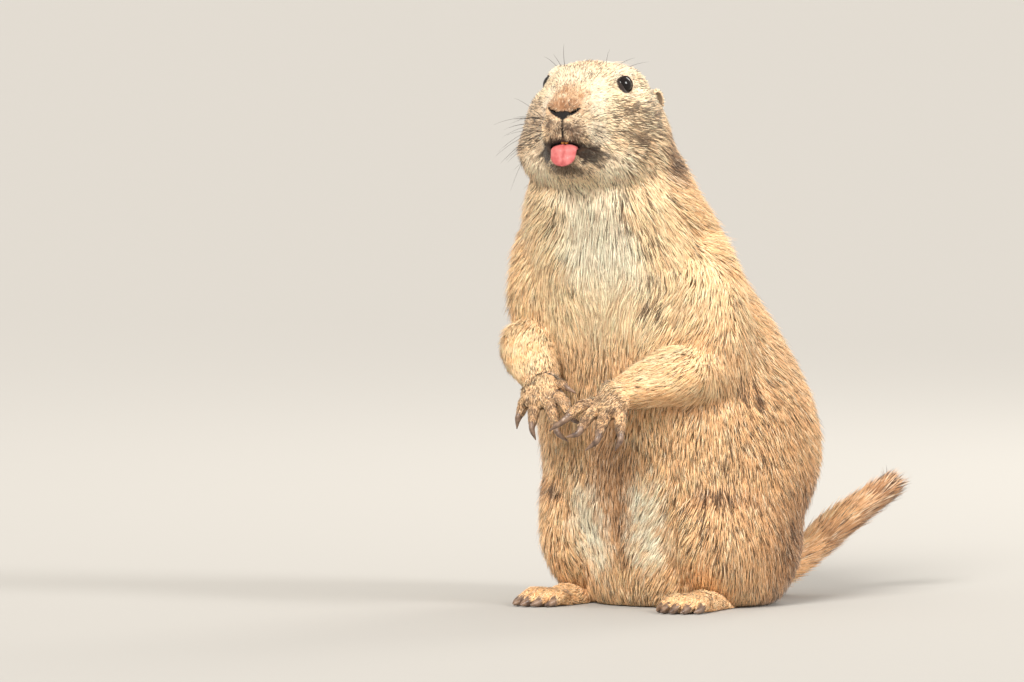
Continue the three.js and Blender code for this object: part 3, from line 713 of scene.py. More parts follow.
def part_places(points):
    """For every part of the body, where the points lie about it: distance, lie of the coat,
    and two shares that unwrap the part's own surface, along it and round it."""
    gap, height, angle, around = trunk_place(points)
    round_share = angle / (2 * np.pi) + 0.5
    places = {"trunk": (gap, trunk_lie(height, angle, around), height / TRUNK_TOP, round_share)}
    gap, at, angle = head_place(points)
    along_share = (at - HEAD[0][0]) / (HEAD[-1][0] - HEAD[0][0])
    places["head"] = (gap, head_lie(at, angle), along_share, angle / (2 * np.pi) + 0.5)
    for name, form in limbs.items():
        gap, ahead, share, angle = limb_place(form, points)
        if name.startswith("forearm"):
            near_elbow = smooth_step(0.42, 0.05, share)[:, None]
            ahead = unit(ahead + near_elbow * (ELBOW_FALL - ahead * 0.6))
        places[name] = (gap, ahead, share, angle / (2 * np.pi) + 0.5)
    return places


def trunk_lie(height, angle, around):
    """The lie of the trunk's coat: down, outwards over the shoulders, inwards on the lower
    chest and in the groin, and a little backwards on the flanks."""
    side = np.sign(angle) * np.minimum(np.abs(angle) / 0.35, 1)
    turned = np.abs(angle)
    shoulders = 0.55 * smooth_step(150, 178, height) * smooth_step(0.15, 0.7, turned)
    chest = -0.5 * smooth_step(118, 138, height) * smooth_step(172, 150, height)
    chest = chest * smooth_step(1.5, 0.9, turned)
    flank = 0.3 * smooth_step(0.8, 1.4, turned) * smooth_step(2.9, 2.0, turned)
    groin = -0.45 * smooth_step(70, 50, height) * smooth_step(1.0, 0.5, turned)
    sweep = side * (shoulders + chest + flank + groin)
    return unit(around * sweep[:, None] + np.array([0, 0, -1.0]))


def head_lie(at, angle):
    """The lie of the head's coat: from the nose back to the nape, falling a little on the cheeks."""
    low = smooth_step(0.9, 2.2, np.abs(angle)) * smooth_step(38, 20, at)
    local = unit(columns_of(0 * at, 1, -0.45 * low))
    return local @ HEAD_TURN.T


# Over how many millimetres one part's coat passes into the next one's
PART_SOFTNESS = 4.5
HEAD_SHARE_SOFTNESS = 8.0


def part_shares(places):
    """How much each part owns of each point: shares that fall off as the points lie further
    outside the part than outside the nearest one."""
    gaps = np.stack([place[0] for place in places.values()], axis=1)
    softness = np.array([HEAD_SHARE_SOFTNESS if name == "head" else PART_SOFTNESS for name in PARTS])
    shares = np.exp(-(gaps - gaps.min(1, keepdims=True)) / softness)
    return shares / shares.sum(1, keepdims=True)


def share_of(shares, *kinds):
    """The summed shares of the parts whose names start with one of the kinds."""
    return sum(shares[:, k] for k, name in enumerate(PARTS) if name.startswith(kinds))


hide = add_piece("hide", make_mesh("hide", *joined(shells)), "fur_back")
melt = hide.modifiers.new("melt", "REMESH")
melt.mode = "VOXEL"
melt.voxel_size = VOXEL
baked(hide)

# The inner corners between the head, trunk and limbs are softened, most where two parts meet
HEAD_COAT_DEPTH = 3.5
WEIGHT_STEPS = 8
CORNER_ROUNDS = 45
NECK_ROUNDS = 420
FACE_START = 20

points, _, _ = read_mesh(hide.data)
gaps = [trunk_place(points)[0] + along(TRUNK_COAT, points[:, 2])[:, 1]]
gaps += [head_place(points)[0] + HEAD_COAT_DEPTH]
gaps += [limb_place(limbs[name], points)[0] + insets[name] for name in limbs
         if name.startswith(("forearm", "foot", "tail", "palm"))]
second = np.sort(np.stack(gaps, axis=1), axis=1)[:, 1]
corner = smooth_step(7, 1, second)
elbow = np.zeros(len(points))
for _, side_name in SIDES:
    name = f"forearm_{side_name}"
    gap, _, share, _ = limb_place(limbs[name], points)
    near = smooth_step(12, 4, np.maximum(gaps[0], gap + insets[name]))
    elbow = np.maximum(elbow, near * smooth_step(0.5, 0.25, share))
neck_corner = np.maximum(smooth_step(20, 5, np.maximum(gaps[0], gaps[1])), 0.6 * elbow)
softenings = [("corner", corner, CORNER_ROUNDS), ("neck_corner", neck_corner, NECK_ROUNDS)]
for group_name, weight, rounds in softenings:
    group = hide.vertex_groups.new(name=group_name)
    for level in range(1, WEIGHT_STEPS + 1):
        chosen = np.flatnonzero(np.round(weight * WEIGHT_STEPS) == level)
        group.add(chosen.tolist(), level / WEIGHT_STEPS, "REPLACE")
    soften = hide.modifiers.new(group_name, "SMOOTH")
    soften.factor = 0.5
    soften.iterations = rounds
    soften.vertex_group = group_name
even = hide.modifiers.new("even", "SMOOTH")
even.factor = 0.4
even.iterations = 2

# The hide is thinned to its count of triangles everywhere but on the face
plain = hide.vertex_groups.new(name="plain")
plain.add(np.flatnonzero(-to_head(points)[:, 1] < FACE_START).tolist(), 1.0, "REPLACE")
thin = hide.modifiers.new("thin", "DECIMATE")
thin.vertex_group = "plain"
thin.ratio = min(1.0, HIDE_TRIANGLES / (2 * len(hide.data.polygons)))
baked(hide)
hide.vertex_groups.clear()
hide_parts("head", "neck", "chest", "belly", "tail", "tail_brush")
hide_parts(*[f"{part}_{side_name}" for _, side_name in SIDES
                    for part in ("ear", "upper_arm", "forearm", "hand", "thigh", "foot")])

# The markings, which the hide and the coat share. The hair is cream to rusty tan, with dark roots
# and pale or black tips. Soft patches with ragged edges darken or lighten it, each an ellipsoid
# in the head's or the body's frame. Some of the dark patches are painted shade, in whole or in
# part: in creases and recesses, on the far cheek and low on the body.


def tone(red, green, blue):
    """A colour of the finished coat, from screen values of 0 to 255 to linear ones."""
    value = np.array([red, green, blue]) / 255
    return np.where(value < 0.04045, value / 12.92, ((value + 0.055) / 1.055) ** 2.4)


CREAM = tone(255, 240, 212)
IVORY = tone(255, 235, 206)
PALE = tone(255, 217, 170)
SAND = tone(254, 198, 142)
ORANGE = tone(250, 188, 130)
TAN = tone(248, 200, 150)
RUST = tone(254, 200, 146)
SADDLE = tone(188, 142, 100)
UMBER = tone(152, 106, 72)
SMOKE = tone(134, 112, 94)
# A dusky brown for the painted shade where the cheeks meet the neck
CHEEK_SHADE = tone(96, 74, 60)
DARK = tone(58, 40, 31)
NOSE = tone(50, 34, 27)
FLESH = tone(196, 110, 100)
# The sizes of the noises that make the patches' edges ragged
COARSE_RIPPLE = 5.0
FINE_RIPPLE = 1.8


def ripple(points, size, seed, waves=9):
    """Smooth noise from about -1 to 1: a sum of sine waves of like length in random directions."""
    draw = np.random.default_rng(seed)
    ways = unit(draw.normal(size=(waves, 3)))
    pace = 2 * np.pi / size * draw.uniform(0.7, 1.4, waves)
    shift = draw.uniform(0, 2 * np.pi, waves)
    return np.sin((points @ ways.T) * pace + shift).sum(-1) / np.sqrt(waves * 0.9)


def patch(points, middle, radii, edge=0.35, ragged=0.14, seed=1):
    """1 inside an ellipsoid and 0 outside it, soft over its edge, which noise makes ragged."""
    far = np.linalg.norm((points - np.asarray(middle, float)) / radii, axis=-1)
    far = far + ragged * ripple(points, COARSE_RIPPLE, seed)
    far = far + 0.5 * ragged * ripple(points, FINE_RIPPLE, seed + 50)
    return smooth_step(1 + edge, 1 - edge, far)


def both_patches(local, middle, *shape):
    """A patch of the head and its mirror image, the stronger of the two at each point."""
    return np.maximum(*(patch(local, mirrored(middle, side), *shape) for side, _ in SIDES))


def blend(colour, other, share):
    """A share of another colour mixed into each of the colours."""
    return colour + (np.asarray(other) - colour) * np.asarray(share)[:, None]


def between(one, other, share):
    """One colour with another mixed into it, by the share at each point."""
    return blend(np.tile(one, (len(share), 1)), other, share)


SMILE_LEVEL = 3.6
SMILE_CURVE = 0.052
SMILE_REACH = 8.2
SMILE_THICKNESS = 1.4
FURROW_LOW = -6.8
FURROW_THICKNESS = 0.5
# Distances aren't measured past this one, nor the lids' past their own reach from the eye
FAR = 20.0
LID_REACH = 16
NOSE_START = -38


def nose_gap(local):
    """How far points lie outside the dark line of the nose: a parabola that runs from nostril to
    nostril, thinner at its ends, and the furrow that drops from its middle to the lip."""
    x, y, z = local.T
    thick = SMILE_THICKNESS * np.sqrt(np.maximum(1 - (x / SMILE_REACH) ** 2, 0))
    thick = thick + 0.8 * np.exp(-(x / 1.6) ** 2)
    over = np.maximum(np.abs(x) - SMILE_REACH, 0)
    smile = np.hypot(np.maximum(np.abs(z - SMILE_LEVEL - SMILE_CURVE * x * x) - thick, 0), over)
    drop = np.maximum(np.maximum(z - SMILE_LEVEL, FURROW_LOW - z), 0)
    furrow = np.hypot(np.maximum(np.abs(x) - FURROW_THICKNESS, 0), drop)
    return np.where(y < NOSE_START, np.minimum(smile, furrow), FAR)


def mouth_gap(local):
    """About how far points lie outside the mouth and the line of the lips."""
    far_mouth = np.linalg.norm(((local - MOUTH_MIDDLE) @ mouth_turn) / MOUTH_RADII, axis=-1)
    far_lip = np.linalg.norm(((local - LIP_MIDDLE) @ mouth_turn) / LIP_RADII, axis=-1)
    return np.minimum((far_mouth - 1) * MOUTH_RADII[2], (far_lip - 1) * 2)


def lid_gap(local):
    """How far points lie outside the lids, measured over the eye's ball as an angle."""
    gap = np.full(len(local), FAR)
    for side, _ in SIDES:
        eye = (local - mirrored(EYE_PLACE, side)) @ looking(side)
        far = np.maximum(np.linalg.norm(eye, axis=-1), 1e-6)
        level = np.maximum(np.hypot(eye[:, 0], eye[:, 1]), 1e-6)
        opening = lid_angle(eye[:, 0] / level, eye[:, 1] / level, side)
        beyond = np.arccos(np.clip(eye[:, 2] / far, -1, 1)) - opening
        outside = beyond * EYE_RADIUS + 0.5 * np.maximum(far - EYE_RADIUS, 0)
        gap = np.where(far < LID_REACH, np.minimum(gap, outside), gap)
    return gap


def ear_hollow(local):
    """1 in the hollows of the ears and 0 outside them."""
    inside = np.zeros(len(local))
    for side, _ in SIDES:
        away = (local - mirrored(EAR_MIDDLE + EAR_HOLLOW, side)) @ turn_z(side * EAR_TURN)
        far = np.linalg.norm(away / EAR_HOLLOW_RADII, axis=-1)
        inside = np.maximum(inside, smooth_step(1.18, 1.02, far))
    return inside


def fringe(local):
    """The dark hair round the mouth: a rim along the lips, a patch at each corner and the chin."""
    rim = smooth_step(2.8, 0.8, mouth_gap(local) + 0.5 * ripple(local, 3.0, 41))
    rim = rim * smooth_step(-24, -30, local[:, 1])
    corners = both_patches(local, (9.6, -37, -14.0), (4.6, 7.0, 4.6), 0.34, 0.34, 26)
    chin = 0.85 * patch(local, (0, -40, -20.5), (8.8, 7, 3.0), 0.4, 0.24, 36)
    return np.maximum.reduce([rim, corners, chin])


# Each patch of the trunk by its middle, radii and noise seed: the pale groin and the dark rump,
# which is partly its own darker coat and partly painted shade low on the back
GROIN_PATCHES = [((16, -51, 42), (12, 14, 25), 13), ((-20, -50, 40), (12, 14, 24), 11)]
RUMP_AND_SHADE_PATCHES = [((52, 24, 34), (32, 32, 32), 14), ((0, 46, 34), (50, 24, 36), 15)]


def trunk_tone(points, height, turned, wave, fine):
    """The trunk's colours and flecks: a cream bib, sandy shoulders, tan flanks and back, a rusty
    lower belly with a darker band that is partly its own colour and partly painted shade between the
    thighs, a pale groin, a rump that is dark partly from its coat and partly from painted shade, and
    a line of painted shade along the crease over each thigh."""
    colour = np.tile(TAN, (len(points), 1))
    fleck = np.full(len(points), 0.2)
    colour = blend(colour, ORANGE, 0.5 * smooth_step(150, 95, height) * smooth_step(0.7, 1.3, turned))
    upper = smooth_step(118, 150, height + 6 * wave)
    colour = blend(colour, SAND, upper * smooth_step(2.3, 1.5, turned))
    colour = blend(colour, PALE, upper * smooth_step(1.5, 0.8, turned + 0.1 * fine))
    bib = upper * smooth_step(0.62, 0.3, turned + 0.07 * fine + 0.05 * wave)
    colour = blend(colour, between(CREAM, PALE, 0.85 * smooth_step(180, 148, height)), bib)
    fleck = fleck * (1 - 0.72 * upper * smooth_step(2.0, 1.2, turned)) * (1 - 0.9 * bib)
    belly = smooth_step(128, 108, height) * smooth_step(1.0, 0.7, turned + 0.08 * fine)
    colour = blend(colour, RUST, 0.8 * belly)
    # Partly painted shade: a darker band down the middle of the lower belly, between the thighs
    band = patch(points, (-2, -58, 62), (13, 22, 36), 0.4, 0.12, 11)
    colour = blend(colour, UMBER, 0.56 * band * belly)
    for middle, radii, seed in GROIN_PATCHES:
        pale = patch(points, middle, radii, 0.4, 0.16, seed)
        colour = blend(colour, CREAM, np.clip(0.85 + 0.3 * fine, 0, 1) * pale)
        fleck = fleck * (1 - 0.7 * pale)
    # The rump darkens, partly its own darker coat and partly painted shade low on the back and side
    rump = np.zeros(len(points))
    for middle, radii, seed in RUMP_AND_SHADE_PATCHES:
        rump = np.maximum(rump, patch(points, middle, radii, 0.5, 0.12, seed))
    colour = blend(colour, UMBER, 0.74 * rump)
    fleck = fleck + 0.2 * rump
    # Painted shade: a dark line along the crease where each thigh meets the flank, with dark-tipped hair in
    # it
    for side, _ in SIDES:
        away = (points - mirrored(THIGH_MIDDLE, side)) @ thigh_turn / THIGH_RADII
        line = np.exp(-(((np.linalg.norm(away, axis=-1) - 1.0) / 0.07) ** 2)) * smooth_step(50, 60, height)
        line = line * smooth_step(0.4, 0.7, turned) * smooth_step(2.1, 1.6, turned)
        line = line * (points[:, 0] * side > 0) * np.clip(0.7 + 0.4 * fine, 0, 1)
        colour = blend(colour, UMBER, 0.85 * line)
        fleck = fleck + 0.5 * line
    return colour, fleck


def limb_tone(colour, fleck, points, shares, fine):
    """The tones with the limbs' mixed in: sandy cream forelimbs and feet, orange under the left
    forearm, and grey on the digits."""
    arms = share_of(shares, "forearm")
    colour = blend(colour, between(PALE, SAND, 0.5 + 0.3 * fine), arms)
    under = smooth_step(4, -9, points[:, 2] - 112 + 0.35 * (points[:, 0] - 30)) * arms * (points[:, 0] > 0)
    colour = blend(colour, ORANGE, 0.8 * under)
    paws = share_of(shares, "palm")
    colour = blend(colour, PALE, paws)
    fingers = share_of(shares, "digit")
    colour = blend(colour, SMOKE, 0.5 * fingers * smooth_step(-0.6, 0.5, fine))
    feet = share_of(shares, "foot", "toe")
    colour = blend(colour, SAND, 0.9 * feet)
    return colour, fleck * (1 - 0.85 * arms) + 0.3 * paws + 0.35 * fingers - 0.1 * feet


def tail_tone(colour, fleck, points, tail, fine):
    """The tones with the tail's mixed in: sandy above, darker towards its tip, with painted shade on the
    underside of its outer part.
    """
    _, _, along_tail, _ = limb_place(limbs["tail"], points)
    # Painted shade on the tail's underside, from about a quarter of its length on
    below = smooth_step(3.5, -3.5, (points - curve(TAIL_PATH, along_tail))[:, 2] + 2.2 * fine)
    colour = blend(colour, SAND, 0.9 * tail)
    colour = blend(colour, UMBER, 0.8 * tail * below * smooth_step(0.25, 0.6, along_tail))
    tip = smooth_step(0.72, 0.95, along_tail + 0.05 * fine)
    colour = blend(colour, UMBER, 0.6 * tail * tip)
    return colour, fleck * (1 - tail) + tail * (0.12 + 0.2 * tip)


# Pale patches of either side of the face, with the strength of each: beside the nose, above the
# lip, along the jaw and round the eye
WHITE_PATCHES = [
    (1, (10.5, -33, 11), (5, 9, 8), 0.4, 0.12, 22),
    (1, (13.0, -36, -3.5), (4, 8, 6.5), 0.4, 0.14, 34),
    (0.9, (18.7, -23, -17), (8, 10, 7), 0.4, 0.14, 35),
    (0.9, EYE_PLACE, (9, 9, 7.6), 0.3, 0.14, 24),
]


def face_tone(local, wave, fine, behind):
    """The head's colours and flecks. The brow and cheeks are cream, the cheeks grizzled in
    clusters, with a tan crown and pale patches. A brown saddle lies over the nose, darkest at its
    tip, grey hair covers the lip, dark hair lies round the mouth, and painted shade lies behind the
    cheeks where they meet the neck and on the far cheek."""
    face = between(PALE, IVORY, np.full(len(local), 0.35))
    grizzle = 0.3 + 0.12 * fine
    cheeks = smooth_step(31, 22, -local[:, 1]) * smooth_step(18, 8, local[:, 2])
    cheeks = cheeks * smooth_step(-20, -9, local[:, 2])
    cluster = smooth_step(0.2, 1.1, ripple(local, 11, 42))
    grizzle = grizzle + cheeks * (0.3 + 0.3 * cluster)
    face = blend(face, TAN, np.clip(0.45 * cheeks * cluster + 0.25 * wave, 0, 1))
    crown = smooth_step(26, 31, local[:, 2]) * smooth_step(24, 12, -local[:, 1])
    face = blend(face, TAN, 0.7 * crown)
    grizzle = grizzle + 0.16 * crown
    white = 0.75 * patch(local, (0, -28, 21), (12, 9, 8), 0.5, 0.16, 21)
    for strength, *shape in WHITE_PATCHES:
        white = np.maximum(white, strength * both_patches(local, *shape))
    face = blend(face, IVORY, 0.9 * white)
    grizzle = grizzle * (1 - 0.6 * white)
    saddle = patch(local, (-0.3, -40, 12.2), (8.4, 9, 7.6), 0.55, 0.2, 23)
    face = blend(face, SADDLE, (0.84 + 0.14 * fine) * saddle)
    face = blend(face, UMBER, 0.86 * patch(local, (0, -46, 7.2), (8.8, 6.5, 3.8), 0.6, 0.16, 30))
    grizzle = grizzle * (1 - saddle) + 0.24 * saddle
    lip_fur = patch(local, (0, -44, -3.6), (9.4, 9, 7.2), 0.3, 0.16, 28)
    face = blend(face, SMOKE, (0.55 + 0.3 * fine) * lip_fur)
    grizzle = grizzle + 0.3 * lip_fur
    # Painted shade behind each cheek, where it meets the neck, with dark-tipped hair
    face = blend(face, CHEEK_SHADE, 0.75 * behind)
    grizzle = grizzle + 0.25 * behind
    # Painted shade: the far cheek, on the right, is darkened towards smoke grey
    far_cheek_shade = smooth_step(-11, -17, local[:, 0]) * smooth_step(-12, -20, local[:, 1])
    far_cheek_shade = far_cheek_shade * smooth_step(-16, -8, local[:, 2]) * smooth_step(16, 8, local[:, 2])
    face = blend(face, SMOKE, 0.3 * far_cheek_shade)
    return blend(face, DARK * 0.3, fringe(local)), grizzle


# Patches of dark streaks at the throat, in front of the left arm and behind its elbow: partly
# dark hair in partings, partly painted shade in the creases and a painted shadow under the elbow
STREAK_AND_SHADE_PATCHES = [
    ((14, -70, 187), (6, 7, 10)),
    ((29, -57, 149), (8, 8, 10)),
    ((24, -60, 166), (5, 5, 6)),
    ((58, -26, 106), (9, 11, 8)),
]


def streaked(colour, fleck, points, height, turned, shares):
    """The tones with streaks of dark hair along both edges of the bib and wherever dark-tipped
    hairs gather on the neck, shoulders, flanks and back, and with the streak patches, which are
    partly dark hair and partly painted shade in creases and under the left elbow."""
    smooth = (1 - share_of(shares, "head")) * (1 - share_of(shares, "forearm"))
    bib_edge = np.exp(-(((turned - 0.52) / 0.13) ** 2))
    bib_edge = bib_edge * smooth_step(140, 152, height) * smooth_step(210, 198, height)
    fleck = fleck + 0.55 * bib_edge * smooth_step(0, 1.0, ripple(points * (1, 1, 0.6), 8, 6)) * smooth
    squeezed = points * (1, 1, 0.5)
    stripe = smooth_step(-0.1, 0.9, ripple(squeezed, 6, 8))
    # Partly dark hair and partly painted shade in the creases and under the left elbow
    for middle, radii in STREAK_AND_SHADE_PATCHES:
        streaky = patch(points, middle, radii, 0.4, 0.2, 44) * stripe * smooth
        fleck = fleck + 0.7 * streaky
        colour = blend(colour, UMBER, 0.35 * streaky)
    gathered = smooth_step(0.9, 1.9, ripple(squeezed, 7.5, 5)) * smooth_step(0.55, 0.95, turned)
    ends = share_of(shares, "palm", "digit", "foot", "toe", "tail")
    return colour, fleck + 0.42 * gathered * smooth * (1 - ends)


def coat_tone(points, shares):
    """The coat's colour, and the share of dark-tipped hairs, at points of the body. A slow and a
    fine noise vary them, and the angle is measured from the front, to either side."""
    local = to_head(points)
    _, height, angle, _ = trunk_place(points)
    turned = np.abs(angle)
    wave = ripple(points, 38, 3)
    fine = ripple(points, 9, 4)
    head = share_of(shares, "head")
    # Painted shade: a dusky patch behind each cheek, where the head meets the neck
    behind = both_patches(local, (36, 5, -9), (7, 8, 12), 0.4, 0.22, 25)
    colour, fleck = trunk_tone(points, height, turned, wave, fine)
    colour, fleck = limb_tone(colour, fleck, points, shares, fine)
    colour, fleck = tail_tone(colour, fleck, points, share_of(shares, "tail"), fine)
    face, grizzle = face_tone(local, wave, fine, behind)
    # The painted shade behind the cheeks darkens the neck as well
    colour = blend(blend(colour, CHEEK_SHADE, 0.65 * behind), face, head)
    fleck = (fleck + 0.3 * behind) * (1 - head) + grizzle * head
    colour, fleck = streaked(colour, fleck, points, height, turned, shares)
    return np.clip(colour, 0, 1), np.clip(fleck + 0.05 * wave, 0, 0.8)


def bare(points):
    """Where the skin is bare, as two shares: all of it, with the nose, the lips, the inside of
    the mouth and the rims of the eyes, and the line of the nose alone."""
    local = to_head(points)
    nose = smooth_step(0.35, 0.0, nose_gap(local))
    skin = np.maximum(smooth_step(0.5, 0.1, mouth_gap(local)), smooth_step(0.75, 0.4, lid_gap(local)))
    return np.maximum.reduce([skin, nose, 0.8 * ear_hollow(local)]), nose


UNDERCOAT = 0.82
THROAT = np.array([0, 3, 0])


def hide_tone(points, shares):
    """The hide's colour: the coat's, darker and browner as undercoat, with bare skin on top that
    is nearly black at the nose, and flesh darkened by painted shade deep in the mouth."""
    colour, _ = coat_tone(points, shares)
    colour = blend(colour * UNDERCOAT, UMBER, np.full(len(points), 0.15))
    skin, nose = bare(points)
    colour = blend(colour, NOSE * 0.55, skin)
    colour = blend(colour, NOSE * 0.12, nose)
    # Painted shade: the flesh deep inside the mouth is darkened to a quarter of its colour
    deep = to_head(points) - MOUTH_MIDDLE - THROAT
    inner = np.linalg.norm((deep @ mouth_turn) / MOUTH_RADII, axis=-1)
    return blend(colour, FLESH * 0.25, smooth_step(1.0, 0.85, inner))


def set_colour(mesh, colour):
    """Writes the colours of a mesh's points to its attribute named coat."""
    layer = mesh.color_attributes.new("coat", "FLOAT_COLOR", "POINT")
    rgba = np.concatenate([colour, np.ones((len(colour), 1))], axis=1)
    layer.data.foreach_set("color", rgba.astype(np.float32).ravel())


def node(tree, kind, **values):
    """A new shader node with its settings and the values of its inputs, by their names."""
    made = tree.nodes.new(kind)
    for name, value in values.items():
        if hasattr(made, name):
            setattr(made, name, value)
        else:
            made.inputs[name.replace("_", " ")].default_value = value
    return made


COLOUR_SOCKET = "NodeSocketColor"
VALUE_SOCKET = "NodeSocketFloat"


def new_group(name, inputs, outputs):
    """A node group's tree with its sockets, and the nodes that stand for its inputs and outputs.
    Each input is given by its name, kind and value, and each output by its name and kind."""
    tree = bpy.data.node_groups.new(name, "ShaderNodeTree")
    for label, kind, value in inputs:
        tree.interface.new_socket(label, in_out="INPUT", socket_type=kind).default_value = value
    for label, kind in outputs:
        tree.interface.new_socket(label, in_out="OUTPUT", socket_type=kind)
    return tree, tree.nodes.new("NodeGroupInput"), tree.nodes.new("NodeGroupOutput")


def hair_group():
    """A node group that varies a coat colour: slow patches and fine streaks of noise make it
    lighter and darker, and the fine one varies its roughness."""
    tree, start, end = new_group(
        "hair colour",
        [("Colour", COLOUR_SOCKET, (1, 1, 1, 1)), ("Amount", VALUE_SOCKET, 0.2)],
        [("Colour", COLOUR_SOCKET), ("Roughness", VALUE_SOCKET)],
    )
    place = node(tree, "ShaderNodeTexCoord")
    slow = node(tree, "ShaderNodeTexNoise", Scale=55.0, Detail=3.0)
    quick = node(tree, "ShaderNodeTexNoise", Scale=900.0, Detail=2.0)
    for noise in (slow, quick):
        tree.links.new(place.outputs["Object"], noise.inputs["Vector"])
    total = node(tree, "ShaderNodeMath", operation="ADD")
    tree.links.new(slow.outputs["Fac"], total.inputs[0])
    tree.links.new(quick.outputs["Fac"], total.inputs[1])
    centred = node(tree, "ShaderNodeMath", operation="SUBTRACT")
    tree.links.new(total.outputs[0], centred.inputs[0])
    centred.inputs[1].default_value = 1.0
    swing = node(tree, "ShaderNodeMath", operation="MULTIPLY_ADD")
    tree.links.new(centred.outputs[0], swing.inputs[0])
    tree.links.new(start.outputs["Amount"], swing.inputs[1])
    swing.inputs[2].default_value = 1.0
    scaled = node(tree, "ShaderNodeVectorMath", operation="SCALE")
    tree.links.new(start.outputs["Colour"], scaled.inputs[0])
    tree.links.new(swing.outputs[0], scaled.inputs["Scale"])
    tree.links.new(scaled.outputs[0], end.inputs["Colour"])
    rough = node(tree, "ShaderNodeMapRange", To_Min=0.48, To_Max=0.75)
    tree.links.new(quick.outputs["Fac"], rough.inputs["Value"])
    tree.links.new(rough.outputs[0], end.inputs["Roughness"])
    return tree


hair_colour = hair_group()


def fur_material(name, amount, sheen):
    """Hair: the coat attribute's colour, varied, with a soft sheen."""
    material = bpy.data.materials.new(name)
    material.use_nodes = True
    tree = material.node_tree
    shader = tree.nodes["Principled BSDF"]
    shader.inputs["Specular IOR Level"].default_value = 0.25
    shader.inputs["Sheen Weight"].default_value = sheen
    shader.inputs["Sheen Roughness"].default_value = 0.45
    coat = node(tree, "ShaderNodeAttribute", attribute_name="coat")
    varied = tree.nodes.new("ShaderNodeGroup")
    varied.node_tree = hair_colour
    varied.inputs["Amount"].default_value = amount
    tree.links.new(coat.outputs["Color"], varied.inputs["Colour"])
    tree.links.new(varied.outputs["Colour"], shader.inputs["Base Color"])
    tree.links.new(varied.outputs["Roughness"], shader.inputs["Roughness"])
    return material


hide_points, hide_triangles, hide_normals = read_mesh(hide.data)
hide_shares = part_shares(part_places(hide_points))
set_colour(hide.data, hide_tone(hide_points, hide_shares))
hide.data.materials.append(fur_material("undercoat", 0.5, 0.1))

# The coat: about a quarter of a million tufts of short, straight, close hair, shed and regrown
# twice a year in life. Each tuft is a thin blade rooted in the hide, thickest at its bend, that
# leans along the lie of the coat and tapers to a point. They are shortest on the face and feet.
SEED = 20
COAT_FULLNESS = 1.36
# A root's depth in the hide, in millimetres, and then shares: where along a tuft its bend lies,
# how high, and how far its ridge stands out of its width
ROOT_SINK = 0.4
BEND = 0.42
BEND_LIFT = 0.62
RIDGE = 0.32
# How far the map's patch of one tuft reaches, and the weight of the hide's normal in its shading
PATCH = 0.003
HIDE_SHADING = 1.2
# A tuft's length, the height of its tip over the hide, its width, and how many grow on a square
# millimetre, on each kind of limb, at the nose and on the ears
LIMB_COATS = {
    "forearm": (7.0, 1.9, 0.44, 2.5),
    "palm": (3.0, 0.8, 0.36, 3.6),
    "digit": (1.8, 0.4, 0.3, 4.5),
    "foot": (3.6, 1.1, 0.4, 2.6),
    "toe": (2.4, 0.5, 0.36, 3.2),
    "tail": (11.5, 4.5, 0.62, 2.6),
}
SNOUT_COAT = np.array([1.7, 0.5, 0.3, 5.0])
EAR_COAT = np.array([1.5, 0.3, 0.28, 6.0])


def trunk_coat(points):
    """The trunk's coat: longer on the upper body and longest on the bib."""
    _, height, angle, _ = trunk_place(points)
    depth = along(TRUNK_COAT, np.clip(height, 0, TRUNK_TOP))[:, 1]
    bib = smooth_step(120, 150, height) * smooth_step(0.8, 0.4, np.abs(angle))
    upper = smooth_step(110, 150, height)
    return columns_of(8.6 + 1.6 * upper + 3.4 * bib, 0.9 * depth, 0.5, 1.5)


def head_coat(points):
    """The head's coat: longer on the cheeks, shorter towards the nose and on the ears, and fine
    and close beside the eyes, nose and mouth, where it grows with the room from their edges."""
    local = to_head(points)
    low = smooth_step(8, -14, local[:, 2])
    coat = columns_of(4.6 + 2.8 * low, 1.7 + 2.2 * low, 0.42, 2.5)
    coat = coat + (SNOUT_COAT - coat) * smooth_step(10, 42, -local[:, 1])[:, None]
    to_ear = np.minimum(*(np.linalg.norm(local - mirrored(EAR_MIDDLE, side), axis=-1) for side, _ in SIDES))
    coat = coat + (EAR_COAT - coat) * smooth_step(8, 5.5, to_ear)[:, None]
    opening = np.minimum(np.minimum(lid_gap(local) - 0.4, nose_gap(local)), mouth_gap(local) - 0.2)
    room = np.clip(opening, 0, FAR)
    at_edge = columns_of(0.9 + 1.1 * room, 0.2 + 0.3 * room, 0.26 + 0.04 * room)
    coat[:, :3] = np.minimum(coat[:, :3], at_edge)
    coat[:, 3] = np.maximum(coat[:, 3], 6.5 - 0.9 * room)
    return coat


def coat_size(points, shares):
    """The coat's four measures at each point: those of every part, mixed by the parts' shares."""
    rows = {name: np.array(LIMB_COATS[name.split("_")[0]]) for name in limbs}
    rows["trunk"] = trunk_coat(points)
    rows["head"] = head_coat(points)
    return sum(rows[name] * shares[:, k, None] for k, name in enumerate(PARTS))


def sprinkle(density, draw):
    """Random places on the hide: the triangles are drawn by area times density, and each place
    is a random mix of the triangle's three corners."""
    a, b, c = (hide_points[hide_triangles[:, k]] for k in range(3))
    area = np.linalg.norm(np.cross(b - a, c - a), axis=-1) / 2
    wanted = np.cumsum(area * density[hide_triangles].mean(1))
    count = int(wanted[-1])
    chosen = np.searchsorted(wanted, draw.uniform(0, wanted[-1], count))
    u, v = draw.uniform(size=(2, count))
    flip = u + v > 1
    u, v = np.where(flip, 1 - u, u), np.where(flip, 1 - v, v)
    corners = hide_triangles[chosen]
    mix = np.stack([1 - u - v, u, v], axis=1)[:, :, None]
    return (hide_points[corners] * mix).sum(1), unit((hide_normals[corners] * mix).sum(1))


CELLS_ACROSS = 4096


